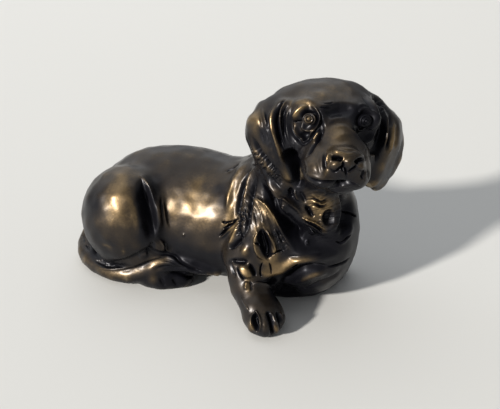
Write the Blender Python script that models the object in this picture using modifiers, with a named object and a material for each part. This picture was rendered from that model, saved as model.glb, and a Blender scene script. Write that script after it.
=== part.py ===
"""A small bronze dachshund lying down, cast in one piece, with its head turned over its right shoulder.

The figure is modelled as a sculptor builds it up. Rounded masses are laid together, their joins blended.
Folds, eyes, nostrils and toes are then worked into the surface from one stand in front of the figure.
Last, the underside is cut flat. Positions and radii are in steps, a hundredth of the height each.
"""

import math

import bmesh
import bpy
import numpy as np
from mathutils import Euler, Matrix, Vector

FIGURE_HEIGHT = 0.105  # metres, underside to the top of the skull
STEPS_HIGH = 98.3  # the same height in steps
STEP = FIGURE_HEIGHT / STEPS_HIGH
VOXEL = 1.5
TRIANGLES = 9400
ORIGIN = (-20, 0, 0)  # on the flat underside, below the belly
BRONZE_COLOUR = (0.16, 0.1, 0.05, 1)
GROUND_BLOCK = (260, 200, 40)  # the block that cuts the underside flat
CARVED_REGIONS = (((32, -16, 78), 44), ((14, -18, 34), 32), ((10, -30, 6), 22), ((-38, -20, 12), 20))

# The sculptor's stand: the direction and distance it is seen from, and the drawing made there.
STAND_AZIMUTH = 16
STAND_ELEVATION = 29
STAND_DISTANCE = 430
STAND_TARGET = (-4, 0, 36)
DRAWING_SCALE = 1010
DRAWING_CENTRE = (250, 204.5)
DRAWING_CELL = 5  # grid cell in which the nearest surface is found
HIDDEN_DEPTH = 7  # a surface this far behind the nearest one is hidden


class Frame:
    """A turned set of axes, in which the forms of one part of the body are placed."""

    def __init__(self, origin=(0, 0, 0), yaw=0, pitch=0, roll=0):
        turn = Euler((math.radians(roll), math.radians(-pitch), math.radians(yaw)), "XYZ")
        self.matrix = Matrix.Translation(Vector(origin)) @ turn.to_matrix().to_4x4()

    def place(self, centre, turn=(0, 0, 0)):
        yaw, pitch, roll = (math.radians(angle) for angle in turn)
        turned = Euler((roll, -pitch, yaw), "XYZ").to_matrix().to_4x4()
        return self.matrix @ Matrix.Translation(Vector(centre)) @ turned


BODY = Frame()
CHEST = Frame((22, -4, 0), yaw=-48)
HEAD = Frame((30.5, -8.5, 79), yaw=-68, pitch=4, roll=-6)


class Mass:
    """An ellipsoid, blended into the forms before it over the distance reach."""

    def __init__(self, name, frame, centre, radii, turn=(0, 0, 0), reach=6, mirror=False):
        self.name, self.reach = name, reach
        self.radii = np.array(radii, float)
        self.places = []
        for side in (1, -1) if mirror else (1,):
            at = (centre[0], centre[1] * side, centre[2])
            self.places.append(frame.place(at, (turn[0] * side, turn[1], turn[2] * side)))
        self.bounds = [(np.array(place.translation), max(radii)) for place in self.places]

    def distance(self, points):
        best = None
        for place in self.places:
            back = np.array(place.inverted())
            local = points @ back[:3, :3].T + back[:3, 3]
            k0 = np.linalg.norm(local / self.radii, axis=1)
            k1 = np.linalg.norm(local / self.radii**2, axis=1)
            found = k0 * (k0 - 1) / np.maximum(k1, 1e-9)
            best = found if best is None else np.minimum(best, found)
        return best

    def rough(self, clay):
        size = Matrix.Diagonal((*self.radii, 1))
        for place in self.places:
            bmesh.ops.create_uvsphere(clay, u_segments=24, v_segments=14, radius=1, matrix=place @ size)


class Limb:
    """A tapered limb: a smooth path through points of x, y, z and radius."""

    def __init__(self, name, frame, path, reach=4, mirror=False, steps=4):
        self.name, self.reach = name, reach
        line = smooth_path(np.array(path, float), steps)
        matrix = np.array(frame.matrix)
        self.lines = []
        for side in (1, -1) if mirror else (1,):
            points = line[:, :3] * (1, side, 1)
            self.lines.append(np.column_stack([points @ matrix[:3, :3].T + matrix[:3, 3], line[:, 3]]))
        self.bounds = []
        for line in self.lines:
            middle = (line[:, :3].min(0) + line[:, :3].max(0)) / 2
            self.bounds.append((middle, (np.linalg.norm(line[:, :3] - middle, axis=1) + line[:, 3]).max()))

    def distance(self, points):
        best = np.full(len(points), 1e9)
        for line in self.lines:
            for start, end in zip(line[:-1], line[1:]):
                along = end[:3] - start[:3]
                t = np.clip((points - start[:3]) @ along / max(along @ along, 1e-9), 0, 1)
                gap = points - start[:3] - t[:, None] * along
                radius = start[3] + t * (end[3] - start[3])
                best = np.minimum(best, np.sqrt((gap * gap).sum(1)) - radius)
        return best

    def rough(self, clay):
        for line in self.lines:
            for x, y, z, radius in line:
                matrix = Matrix.Translation((x, y, z))
                bmesh.ops.create_icosphere(clay, subdivisions=2, radius=radius, matrix=matrix)


class Stroke:
    """A line worked into the surface, drawn from the stand. It is raised if height is positive, else cut.

    An edge stroke is raised on its left side and cut on its right side, which makes an overlapping fold.
    """

    def __init__(self, name, path, width, height, edge=False, fade=0.2):
        self.name, self.width, self.height, self.edge, self.fade = name, width, height, edge, fade
        self.line = smooth_path(np.array(path, float), 5)

    def lift(self, drawn):
        gap = np.full(len(drawn), 1e9)
        along_best = np.zeros(len(drawn))
        left_best = np.ones(len(drawn))
        lengths = np.linalg.norm(np.diff(self.line, axis=0), axis=1)
        starts = np.concatenate([[0], np.cumsum(lengths)])
        for i, (start, end) in enumerate(zip(self.line[:-1], self.line[1:])):
            along = end - start
            offset = drawn - start
            t = np.clip(offset @ along / max(along @ along, 1e-9), 0, 1)
            rest = offset - t[:, None] * along
            found = np.sqrt((rest * rest).sum(1))
            nearer = found < gap
            gap[nearer] = found[nearer]
            along_best[nearer] = (starts[i] + t * lengths[i])[nearer] / starts[-1]
            cross = along[0] * offset[:, 1] - along[1] * offset[:, 0]
            left_best[nearer] = np.where(cross < 0, 1, -1)[nearer]
        ends = np.minimum(along_best, 1 - along_best) / max(self.fade, 1e-6)
        strength = np.clip(ends, 0, 1) if self.fade else 1.0
        if self.edge:
            sharp = np.tanh(left_best * gap / (0.22 * self.width))
            return self.height * strength * sharp * np.exp(-((gap / self.width) ** 2))
        return self.height * strength * np.exp(-((gap / self.width) ** 2))


class Dab:
    """A round touch on the surface, drawn from the stand: a dome if height is positive, else a pit."""

    def __init__(self, name, centre, radii, height, turn=0, crisp=2):
        self.name, self.centre, self.radii, self.height = name, centre, radii, height
        self.turn, self.crisp = math.radians(turn), crisp

    def lift(self, drawn):
        x, y = drawn[:, 0] - self.centre[0], drawn[:, 1] - self.centre[1]
        c, s = math.cos(self.turn), math.sin(self.turn)
        r = np.hypot((x * c + y * s) / self.radii[0], (y * c - x * s) / self.radii[1])
        return self.height * np.exp(-(r**self.crisp))


def smooth_path(path, steps):
    """A Catmull-Rom curve through the path's points."""
    ends = np.vstack([2 * path[0] - path[1], path, 2 * path[-1] - path[-2]])
    made = []
    for i in range(1, len(ends) - 2):
        p0, p1, p2, p3 = ends[i - 1 : i + 3]
        for t in np.arange(steps) / steps:
            bend = (2 * p0 - 5 * p1 + 4 * p2 - p3) * t**2 + (3 * p1 - p0 - 3 * p2 + p3) * t**3
            made.append(0.5 * (2 * p1 + (p2 - p0) * t + bend))
    made.append(path[-1])
    return np.array(made)


def soft_union(a, b, reach):
    h = np.maximum(reach - np.abs(a - b), 0) / reach
    return np.minimum(a, b) - h * h * reach / 4


def body_forms():
    return [
        Mass("barrel", BODY, (-19.5, 5.4, 25), (45, 25.3, 26), turn=(-4, 0, 0), reach=1),
        Mass("back", BODY, (-36, 8, 33), (30, 18, 20.5), reach=8),
        Mass("rump", BODY, (-47.5, 5, 22.8), (31, 22.5, 26.2), reach=9),
        Mass("right_thigh", BODY, (-55.4, -10, 27.7), (21.3, 19.6, 23.2), turn=(-15, -9, 0), reach=3),
        Mass("left_thigh", BODY, (-54, 15.5, 19), (21.5, 17, 19), turn=(-8, -8, 0), reach=3),
        Limb(
            "right_hind_foot", BODY,
            [(-49, -15, 4, 6), (-40, -17, 4, 6), (-31, -14, 3.5, 5)], reach=2,
        ),
        Limb("left_hind_foot", BODY, [(-48, 24, 4, 6), (-38, 28, 4, 6), (-27, 28, 4, 5.5)], reach=2),
        Mass("right_knee", BODY, (-40, -17, 15), (4, 4, 6), turn=(0, 20, 0), reach=3),
        Limb(
            "tail",
            BODY,
            [
                (-72, 8, 12, 8),
                (-78, 1, 7, 6.5),
                (-77.5, -7, 5, 5.2),
                (-71, -14.5, 4.5, 4.5),
                (-62, -19, 4.5, 4.3),
                (-53, -20.5, 5, 4.2),
                (-44, -19.8, 8.5, 4),
                (-36, -18.8, 12.3, 3.8),
                (-28, -17.8, 12.8, 3.4),
                (-21, -17.2, 11.5, 2.8),
                (-14, -16.8, 10.5, 1.8),
            ],
            reach=2,
        ),
        Mass("tail_seat", BODY, (-66, -8, 2), (10, 9, 6.5), reach=2),
        Mass("chest", CHEST, (-1, 1, 30.5), (22, 21.5, 30.5), reach=14),
        Limb("neck", BODY, [(2, 1, 40, 18), (15, -3, 54, 16), (27, -7, 68, 13)], reach=10),
        Mass("right_shoulder", BODY, (5, -19, 27), (11, 9, 20), turn=(-20, 0, 0), reach=6),
        Limb("right_foreleg", BODY, [(0, -20, 22, 9), (4, -26, 13, 8.5), (9, -33, 9, 7.5)], reach=5),
        Mass("right_paw", BODY, (12.5, -36, 5), (9.5, 8.2, 6.5), turn=(-68, 0, 0), reach=4),
        Mass("breast_floor", CHEST, (-11, 2, 3), (15, 18, 10), reach=6),
        Limb(
            "left_foreleg",
            BODY,
            [(31, 13, 9, 8.5), (29, 3, 7.5, 7.5), (21, -3.5, 6.5, 6.5), (12, -9.5, 6, 6)],
            reach=4,
        ),
    ]


def ear(name, side, lean, crown, front, rim):
    """One hanging ear: its crown, its flap, its front ridge and its turned rim. side is 1 for the left."""
    def sided(path):
        return [(x, y * side, z, radius) for x, y, z, radius in path]

    return [
        Mass(
            name + "_crown", HEAD,
            (-4, crown * side, 0.5), (11, 18, 15), turn=(0, 0, -14 * side), reach=8,
        ),
        Mass(
            name + "_flap", HEAD,
            (-1, 23.5 * side, -10), (10, 4.2, 15), turn=(-27 * side, 0, -lean * side), reach=6,
        ),
        Limb(name + "_front", HEAD, sided(front), reach=2.5),
        Limb(name + "_rim", HEAD, sided(rim), reach=2.5),
    ]


def head_forms():
    right_front = [
        (4, 19, 10, 3),
        (5.5, 21.5, 5, 2.6),
        (6.5, 20.5, 0, 2.5),
        (6.5, 18, -7, 2.6),
        (6, 14, -17, 2.8),
    ]
    right_rim = [
        (-6, 25, 4, 3),
        (-7, 28.5, -4, 2.5),
        (-5, 26.5, -11, 2.4),
        (-2, 22, -17, 2.5),
        (2, 16, -22.5, 2.9),
    ]
    left_front = [
        (4, 17, 9, 3),
        (5.5, 19.5, 4, 2.6),
        (6.5, 20, -2, 2.5),
        (6.5, 19.5, -10, 2.6),
        (6, 18, -18, 2.8),
    ]
    left_rim = [
        (-6, 23.5, 4, 3),
        (-7, 29, -3, 2.5),
        (-7, 30.5, -11, 2.5),
        (-6, 28.2, -17.5, 2.8),
        (-2, 22.5, -21.5, 3.2),
    ]
    return [
        Mass("skull", HEAD, (-2, 0, 1), (20, 18, 18), reach=8),
        *ear("right_ear", -1, 22, 12, right_front, right_rim),
        *ear("left_ear", 1, 7, 9.5, left_front, left_rim),
        Mass("brow", HEAD, (9, 9, 9), (7, 7, 6), reach=6, mirror=True),
        Mass("cheek", HEAD, (3, 9, -5), (12, 8, 10), reach=6, mirror=True),
        Mass("muzzle", HEAD, (16, 0.5, -2.5), (17, 10, 8.5), turn=(0, -7, 0), reach=6),
        Mass("flew", HEAD, (21, 6, -7), (11, 7, 7.4), reach=4, mirror=True),
        Mass("nose", HEAD, (29.5, 1, -0.5), (4.8, 7, 5), reach=2.5),
        Mass("chin", HEAD, (18.5, 1, -12.5), (10.5, 7, 4.5), reach=2),
        Mass("throat", HEAD, (0, 0, -13), (13, 12, 10), reach=8),
        Mass("eye", HEAD, (12.5, 11.2, 8.4), (4, 4, 4), reach=0.6, mirror=True),
    ]


def head_strokes():
    return [
        Stroke(
            "right_ear_ridge",
            [(282, 97), (274, 107), (272, 118), (275, 132), (280, 147), (287, 166)],
            2.6, 0.9,
        ),
        Stroke(
            "right_ear_groove",
            [(286, 98), (278, 107), (276, 118), (279, 134), (284, 151), (291, 168)],
            2.4, -1.6,
        ),
        Stroke(
            "right_ear_fold",
            [(291, 99), (284, 107), (281, 118), (281, 130), (285, 143), (290, 152)],
            2.2, 1.0,
        ),
        Stroke("right_ear_gap", [(284, 145), (290, 158), (295, 170), (300, 184)], 3.6, -2.6),
        Stroke(
            "right_ear_hem",
            [(251, 140), (259, 152), (267, 163), (276, 174), (283, 182)],
            2.2, -1.2,
        ),
        Stroke("right_ear_pleat", [(262, 107), (265, 122), (270, 138), (276, 154)], 3, 0.6),
        Dab("right_ear_hollow", (261, 133), (6, 13), -0.8, turn=-20),
        Stroke("left_ear_edge", [(362, 91), (369, 98), (375, 107), (379, 118), (378, 127)], 1.6, 0.8),
        Stroke(
            "left_ear_gap",
            [(372, 97), (381, 107), (384, 120), (381, 136), (376, 150), (371, 162)],
            3.2, -1.7,
        ),
        Stroke("left_ear_pleat", [(386, 110), (389, 124), (388, 140), (384, 155)], 2, 0.9),
        Stroke("left_ear_fold", [(391, 118), (392, 134), (390, 148), (387, 160)], 1.8, -0.9),
        Stroke("left_ear_roll", [(395, 120), (397, 134), (394, 149), (390, 160)], 2, 0.6),
        Dab("right_socket", (305, 123), (12, 17), -2.0, turn=18, crisp=4),
        Dab("right_eyeball", (308.5, 119.5), (8.5, 8.5), 2.8, crisp=4),
        Stroke("right_lid", eye_outline((304, 122), 1), 1.7, 0.8, fade=0),
        Stroke(
            "right_lower_lid",
            [(297, 123), (300, 130), (306, 133), (312, 130), (317, 123)],
            1.5, 0.7,
        ),
        Dab("left_socket", (367, 124), (9, 15), -2.0, turn=-8, crisp=4),
        Dab("left_eyeball", (367, 121), (7.5, 8), 2.6, crisp=4),
        Stroke("left_lid", eye_outline((370, 125), -0.72), 1.7, 0.8, fade=0),
        Stroke("stop", [(321, 113), (332, 110), (346, 110), (358, 114)], 6, -1.2),
        Stroke("right_brow", [(295, 106), (304, 101), (313, 102), (320, 109)], 3, 0.9),
        Stroke(
            "right_muzzle_side",
            [(322, 120), (317, 131), (312, 141), (309, 151), (304, 162)],
            2.8, -0.9,
        ),
        Stroke("left_muzzle_side", [(354, 127), (361, 135), (366, 144), (369, 155)], 2.6, -0.9),
        Stroke("nose_top", [(329, 151), (336, 152), (346, 153), (356, 153), (364, 157)], 2.2, 0.7),
        Dab("right_nostril", (337, 158.5), (6, 3), -2.2, turn=-6, crisp=4),
        Dab("left_nostril", (361, 160.5), (6, 3.4), -2.2, turn=-8, crisp=4),
        Dab("right_nostril_wing", (334, 166), (5, 4), 0.9),
        Dab("left_nostril_wing", (361, 168), (5, 4), 0.7),
        Stroke("philtrum", [(343, 166), (345, 172), (347, 181)], 1.5, -1.2),
        Stroke("nose_side", [(328, 155), (325.5, 163), (328, 171), (336, 173), (342, 170)], 1.6, -0.7),
        Stroke(
            "mouth",
            [(300, 168), (305, 175), (314, 180), (326, 182), (340, 182), (354, 184), (367, 186)],
            1.8, -1.7,
        ),
        Stroke(
            "lip",
            [(303, 168), (312, 175), (325, 177.5), (338, 177), (352, 179), (364, 180)],
            3, 0.6,
        ),
    ]


def chest_strokes():
    return [
        Stroke(
            "neck_fold",
            [(254, 160), (243, 168), (235, 180), (230, 193), (227, 207), (226, 220)],
            3.2, 1.1,
        ),
        Stroke(
            "neck_groove",
            [(250, 168), (243, 178), (238, 191), (235, 206), (234, 221), (232, 236)],
            2.8, -1.5,
        ),
        Stroke("shoulder_fold", [(259, 163), (251, 172), (246, 184), (243, 197), (241, 211)], 2.6, 1.1),
        Stroke(
            "shoulder_groove",
            [(257, 172), (252, 184), (249, 197), (247, 212), (246, 228), (243, 245)],
            2.6, -1.5,
        ),
        Stroke(
            "blade_ridge",
            [(253, 196), (262, 203), (269, 214), (276, 227), (283, 240), (293, 254)],
            3.4, 2.0,
        ),
        Stroke(
            "blade_groove",
            [(262, 176), (269, 190), (278, 205), (286, 219), (294, 233), (303, 246)],
            6.5, -3.4,
        ),
        Stroke(
            "collar_fold",
            [(263, 166), (270, 180), (280, 192), (291, 203), (302, 214), (318, 223)],
            3.2, 2.2,
        ),
        Dab("breast_hollow", (308, 243), (24, 12), -3.2, turn=14, crisp=3),
        Stroke("ruff_edge", [(337, 192), (340, 204), (339, 217), (333, 228), (322, 228)], 2.4, 1.2),
        Dab("ruff_pit", (328, 218), (5, 7), -2.4, crisp=3),
        Stroke("ruff_lock", [(300, 219), (311, 223), (322, 230), (330, 236)], 1.8, 0.9),
        Stroke("ruff_lock_groove", [(301, 216), (312, 217), (320, 222)], 1.6, -0.9),
        Stroke("ruff_side", [(304, 196), (305, 206), (312, 214)], 2.6, -1.3),
        Stroke("left_shoulder_notch", [(344, 210), (350, 212), (357, 216)], 1.8, -1.4, fade=0.1),
        Stroke(
            "left_shoulder_fold",
            [(343, 192), (345, 206), (344, 222), (338, 236), (341, 244)],
            3, -1.4,
        ),
        Stroke("left_shoulder_crease", [(334, 245), (343, 242), (351, 234)], 1.8, -1.0),
        Dab("leaf_slot", (266.5, 244), (5.5, 14), -3.0, turn=-19, crisp=5),
        Stroke("leaf_left_rim", [(259, 228), (255, 240), (256, 252), (262, 261)], 2.4, 1.0),
        Stroke("leaf_right_rim", [(268, 229), (275, 240), (277, 252), (272, 261)], 2.2, 0.9),
        Stroke(
            "breast_roll",
            [(262, 277), (276, 275), (289, 268), (303, 262), (325, 259), (344, 254)],
            5, 1.6,
        ),
        Stroke(
            "breast_crease",
            [(255, 283), (272, 282), (287, 276), (300, 270), (318, 267), (338, 267)],
            4.5, -2.6,
        ),
        Stroke("left_forearm", [(296, 287), (312, 279), (328, 273), (343, 268)], 4, 1.2),
        Dab("elbow_plate", (246, 272), (6.5, 7.5), 1.0, turn=-40, crisp=4),
        Dab("elbow_knuckle", (246, 252), (4, 6), 1.0, crisp=3),
        Stroke("elbow_groove", [(229, 261), (238, 262), (248, 262)], 3.2, -1.3),
        Stroke("elbow_back", [(229, 258), (231, 268), (236, 279)], 2, -1.2),
        Stroke("first_toe_gap", [(254, 311), (257, 320), (259, 331)], 2.4, -1.9),
        Stroke("second_toe_gap", [(267, 313), (270, 324), (272, 337)], 1.9, -1.5),
        Stroke("third_toe_gap", [(277, 312), (280, 322), (282, 334)], 1.9, -1.5),
        Dab("first_toe", (252, 327), (3, 8), 0.7),
        Dab("second_toe", (264, 328), (3.4, 9), 0.8),
        Dab("third_toe", (276, 327), (3, 8), 0.8),
    ]


def body_strokes():
    return [
        Stroke(
            "flank_edge",
            [(137, 173), (146, 184), (153, 198), (156, 212), (157, 226), (155, 240)],
            5, 1.5, edge=True,
        ),
        Stroke("thigh_front", [(139, 182), (146, 197), (149, 213), (150, 229), (146, 243)], 8, -2.4),
        Stroke("flank_fold", [(159, 198), (160, 209), (162, 222)], 2.2, 0.7),
        Stroke("flank_groove", [(163, 199), (165, 212), (168, 228)], 1.8, -0.9),
        Dab("stifle", (159, 246), (8, 6), 1.6, crisp=3),
        Dab("thigh_fullness", (122, 194), (17, 15), 1.0),
        Stroke(
            "tail_valley",
            [(86, 250), (95, 260), (108, 265), (124, 264), (138, 257), (148, 251)],
            4, -1.4,
        ),
        Stroke("tail_top", [(168, 251), (176, 257), (184, 264), (194, 270), (206, 273)], 2.6, -1.2),
        Stroke("hind_foot_shade", [(148, 273), (162, 270), (180, 273), (196, 277)], 4, -1.6),
        Stroke("flank_tear", [(218, 237), (226, 230), (233, 223), (239, 218)], 1.8, -1.3),
    ]


def eye_outline(centre, size):
    """The pointed outline of the eyelids: round above, drawn to a point below."""
    x, y = centre
    shape = [(0, -20), (-7, -17), (-12, -10), (-14, 0), (-11, 11), (-6, 19), (-2, 22)]
    shape += [(3, 17), (9, 10), (14, 3), (15.5, -5), (12, -14), (6, -18), (0, -20)]
    return [(x + dx * size, y + dy * abs(size)) for dx, dy in shape]


class Stand:
    """The point that the surface is worked from, and the drawing in which the strokes are placed."""

    def __init__(self):
        azimuth, elevation = math.radians(STAND_AZIMUTH), math.radians(STAND_ELEVATION)
        flat = math.cos(elevation)
        self.back = np.array([math.sin(azimuth) * flat, -math.cos(azimuth) * flat, math.sin(elevation)])
        self.right = np.array([math.cos(azimuth), math.sin(azimuth), 0])
        self.up = np.cross(self.back, self.right)
        self.eye = np.array(STAND_TARGET) + self.back * STAND_DISTANCE

    def draw(self, points):
        """Where each point lies in the drawing, and how far away it is."""
        sight = points - self.eye
        depth = -(sight @ self.back)
        x = DRAWING_CENTRE[0] + DRAWING_SCALE * (sight @ self.right) / depth
        y = DRAWING_CENTRE[1] - DRAWING_SCALE * (sight @ self.up) / depth
        return np.column_stack([x, y]), depth

    def seen(self, points, normals):
        """From 0 for what faces away or is hidden to 1 for what faces the stand."""
        drawn, depth = self.draw(points)
        sight = self.eye - points
        facing = (normals * sight).sum(1) / np.linalg.norm(sight, axis=1)
        cells = np.floor(drawn / DRAWING_CELL).astype(int)
        cells -= cells.min(0)
        index = cells[:, 0] * (cells[:, 1].max() + 1) + cells[:, 1]
        front = facing > 0
        nearest = np.full(index.max() + 1, 1e9)
        np.minimum.at(nearest, index[front], depth[front])
        hidden = np.clip((depth - nearest[index]) / HIDDEN_DEPTH - 0.5, 0, 1)
        return drawn, np.clip(facing / 0.3, 0, 1) * (1 - hidden)


def work_surface(points, normals, touches):
    """Moves the points along their normals by every stroke and dab."""
    drawn, seen = Stand().seen(points, normals)
    lift = np.zeros(len(points))
    for touch in touches:
        lift += touch.lift(drawn)
    return points + normals * (lift * seen)[:, None]


def field(points, forms):
    """The blended distance, negative inside. A form is worked out only where it can change it."""
    value = np.full(len(points), 1e3)
    for form in forms:
        near = np.zeros(len(points), bool)
        for middle, radius in form.bounds:
            gap = np.linalg.norm(points - middle, axis=1) - radius
            near |= gap < np.minimum(value, 40) + form.reach
        if near.any():
            value[near] = soft_union(value[near], form.distance(points[near]), form.reach)
    return value


def slope(points, forms, step=0.05):
    """The field's gradient, by four samples at a tetrahedron's corners."""
    corners = np.array([(1, 1, 1), (1, -1, -1), (-1, 1, -1), (-1, -1, 1)], float)
    total = np.zeros_like(points)
    for corner in corners:
        total += corner * field(points + corner * step, forms)[:, None]
    return total / (4 * step)


def settle(points, forms, rounds=2):
    """Moves points onto the blended surface."""
    for _ in range(rounds):
        value = field(points, forms)
        g = slope(points, forms)
        steep = np.maximum((g * g).sum(1), 0.25)
        move = -(value / steep)[:, None] * g
        size = np.linalg.norm(move, axis=1, keepdims=True)
        points = points + move * np.minimum(1, 2.0 / np.maximum(size, 1e-9))
    return points


def relax(points, edges, share=0.5):
    """Each point moves a share of the way to the mean of its neighbours."""
    total = np.zeros_like(points)
    count = np.bincount(edges.ravel(), minlength=len(points))
    for axis in range(3):
        total[:, axis] = np.bincount(edges[:, 0], points[edges[:, 1], axis], len(points))
        total[:, axis] += np.bincount(edges[:, 1], points[edges[:, 0], axis], len(points))
    return points + share * (total / np.maximum(count, 1)[:, None] - points)


def clay_mesh(forms, voxel):
    clay = bmesh.new()
    for form in forms:
        form.rough(clay)
    mesh = bpy.data.meshes.new("clay")
    clay.to_mesh(mesh)
    clay.free()
    rough = bpy.data.objects.new("clay", mesh)
    bpy.context.scene.collection.objects.link(rough)
    remesh = rough.modifiers.new("remesh", "REMESH")
    remesh.mode = "VOXEL"
    remesh.voxel_size = voxel
    graph = bpy.context.evaluated_depsgraph_get()
    made = bpy.data.meshes.new_from_object(rough.evaluated_get(graph))
    bpy.data.objects.remove(rough)
    return made


def coordinates(mesh):
    points = np.empty(len(mesh.vertices) * 3)
    mesh.vertices.foreach_get("co", points)
    return points.reshape(-1, 3)


def edge_pairs(mesh):
    pairs = np.empty(len(mesh.edges) * 2, int)
    mesh.edges.foreach_get("vertices", pairs)
    return pairs.reshape(-1, 2)


def refine(mesh, regions):
    """Divides the faces whose middle lies inside one of the spheres."""
    clay = bmesh.new()
    clay.from_mesh(mesh)
    chosen = set()
    for face in clay.faces:
        middle = face.calc_center_median()
        if any((middle - Vector(centre)).length < radius for centre, radius in regions):
            chosen.update(face.edges)
    bmesh.ops.subdivide_edges(clay, edges=list(chosen), cuts=1, use_grid_fill=True)
    clay.to_mesh(mesh)
    clay.free()


def settle_mesh(mesh, forms, passes):
    points, edges = coordinates(mesh), edge_pairs(mesh)
    for _ in range(passes):
        points = settle(relax(points, edges), forms)
    mesh.vertices.foreach_set("co", points.ravel())
    return points


def sculpt():
    forms = body_forms() + head_forms()
    mesh = clay_mesh(forms, VOXEL)
    settle_mesh(mesh, forms, 2)
    refine(mesh, CARVED_REGIONS)
    points = settle_mesh(mesh, forms, 1)
    normals = slope(points, forms)
    normals /= np.maximum(np.linalg.norm(normals, axis=1, keepdims=True), 1e-9)
    points = work_surface(points, normals, head_strokes() + chest_strokes() + body_strokes())
    mesh.vertices.foreach_set("co", points.ravel())
    mesh.update()
    return mesh


def ground_block():
    """The cutter below the ground, which leaves the underside flat."""
    bpy.ops.mesh.primitive_cube_add(size=1)
    block = bpy.context.object
    block.name = "ground_block"
    length, width, depth = (side * STEP for side in GROUND_BLOCK)
    block.scale = (length, width, depth)
    block.location = (0, 0, -depth / 2)
    block.display_type = "WIRE"
    block.hide_render = True
    return block


def bronze():
    material = bpy.data.materials.new("patinated_bronze")
    material.use_nodes = True
    surface = material.node_tree.nodes["Principled BSDF"]
    surface.inputs["Base Color"].default_value = BRONZE_COLOUR
    surface.inputs["Metallic"].default_value = 1.0
    surface.inputs["Roughness"].default_value = 0.38
    return material


def main():
    for obj in list(bpy.data.objects):
        bpy.data.objects.remove(obj)
    figures = bpy.data.collections.new("dachshund")
    helpers = bpy.data.collections.new("cutters")
    for collection in (figures, helpers):
        bpy.context.scene.collection.children.link(collection)
    mesh = sculpt()
    mesh.transform(Matrix.Scale(STEP, 4) @ Matrix.Translation(-Vector(ORIGIN)))
    mesh.name = "dachshund_figure"
    mesh.materials.append(bronze())
    mesh.shade_smooth()
    figure = bpy.data.objects.new("dachshund_figure", mesh)
    figures.objects.link(figure)
    triangles = sum(len(face.vertices) - 2 for face in mesh.polygons)
    thin = figure.modifiers.new("thin", "DECIMATE")
    thin.ratio = TRIANGLES / triangles
    block = ground_block()
    for collection in block.users_collection:
        collection.objects.unlink(block)
    helpers.objects.link(block)
    cut = figure.modifiers.new("flat_underside", "BOOLEAN")
    cut.operation = "DIFFERENCE"
    cut.solver = "EXACT"
    cut.object = block


main()
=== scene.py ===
"""A small bronze dachshund lying down, with its head turned over its right shoulder, dressed for the shelf.

The figure is modelled as a sculptor builds it up. Rounded masses are laid together and their joins blended.
Folds, eyes, nostrils, toes and cracks are then worked into the surface from two stands around the figure.
Positions and radii on the body are in steps of about a hundredth of the figure's height. Positions and
widths in a drawing are in the drawing's own units, of which the figure is about 260 high.
"""

from __future__ import annotations

import logging
import math
from dataclasses import dataclass, fields
from enum import Enum
from typing import Sequence, Union

import bmesh
import bpy
import numpy as np
from mathutils import Euler, Matrix, Vector
from mathutils.bvhtree import BVHTree

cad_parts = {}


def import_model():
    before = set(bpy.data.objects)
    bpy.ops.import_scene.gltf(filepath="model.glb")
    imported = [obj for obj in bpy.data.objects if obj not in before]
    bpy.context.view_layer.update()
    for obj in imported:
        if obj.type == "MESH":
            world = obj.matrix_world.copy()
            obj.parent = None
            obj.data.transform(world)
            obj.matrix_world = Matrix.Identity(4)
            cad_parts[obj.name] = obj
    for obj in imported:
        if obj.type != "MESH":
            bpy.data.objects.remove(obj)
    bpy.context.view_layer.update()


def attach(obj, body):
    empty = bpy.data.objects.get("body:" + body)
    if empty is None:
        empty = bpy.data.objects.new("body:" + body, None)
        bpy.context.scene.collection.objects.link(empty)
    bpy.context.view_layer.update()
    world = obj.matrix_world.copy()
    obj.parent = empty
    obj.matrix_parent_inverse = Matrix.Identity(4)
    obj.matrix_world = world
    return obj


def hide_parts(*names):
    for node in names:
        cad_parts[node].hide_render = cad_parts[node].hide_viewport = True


LOG = logging.getLogger("dachshund")

Triple = tuple[float, float, float]
Pair = tuple[float, float]
Path = tuple[tuple[float, ...], ...]

FIGURE_HEIGHT = 0.105  # metres, underside to the top of the skull
STEPS_HIGH = 98.3
STEP = FIGURE_HEIGHT / STEPS_HIGH
ORIGIN = (-20.0, 0.0, 0.0)  # on the flat underside, below the belly
PICTURE_WIDTH = 500
GOLDEN_ANGLE = 2.399963  # radians, which spreads directions evenly


def smooth_path(path: np.ndarray, steps: int) -> np.ndarray:
    """Runs a Catmull-Rom curve through points.

    Args:
        path: The points, one to a row.
        steps: How many pieces each stretch between two points is divided into.

    Returns:
        The curve's points, one to a row.
    """
    ends = np.vstack([2 * path[0] - path[1], path, 2 * path[-1] - path[-2]])
    made = []
    for i in range(1, len(ends) - 2):
        p0, p1, p2, p3 = ends[i - 1 : i + 3]
        for t in np.arange(steps) / steps:
            bend = (2 * p0 - 5 * p1 + 4 * p2 - p3) * t**2 + (3 * p1 - p0 - 3 * p2 + p3) * t**3
            made.append(0.5 * (2 * p1 + (p2 - p0) * t + bend))
    made.append(path[-1])
    return np.array(made)


def smooth_step(value: np.ndarray, low: float, high: float) -> np.ndarray:
    """Rises smoothly from 0 at low to 1 at high."""
    t = np.clip((value - low) / (high - low), 0, 1)
    return t * t * (3 - 2 * t)


# Forms


@dataclass(frozen=True)
class Axes:
    """A turned set of axes, in which the forms of one part of the body are placed."""

    origin: Triple = (0, 0, 0)
    yaw: float = 0
    pitch: float = 0
    roll: float = 0

    def matrix(self) -> Matrix:
        """The matrix from these axes to the body's."""
        turn = Euler((math.radians(self.roll), math.radians(-self.pitch), math.radians(self.yaw)), "XYZ")
        return Matrix.Translation(Vector(self.origin)) @ turn.to_matrix().to_4x4()

    def place(self, centre: Triple, turn: Triple) -> Matrix:
        """The matrix of something placed in these axes, turned by yaw, pitch and roll."""
        yaw, pitch, roll = (math.radians(angle) for angle in turn)
        turned = Euler((roll, -pitch, yaw), "XYZ").to_matrix().to_4x4()
        return self.matrix() @ Matrix.Translation(Vector(centre)) @ turned


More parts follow.
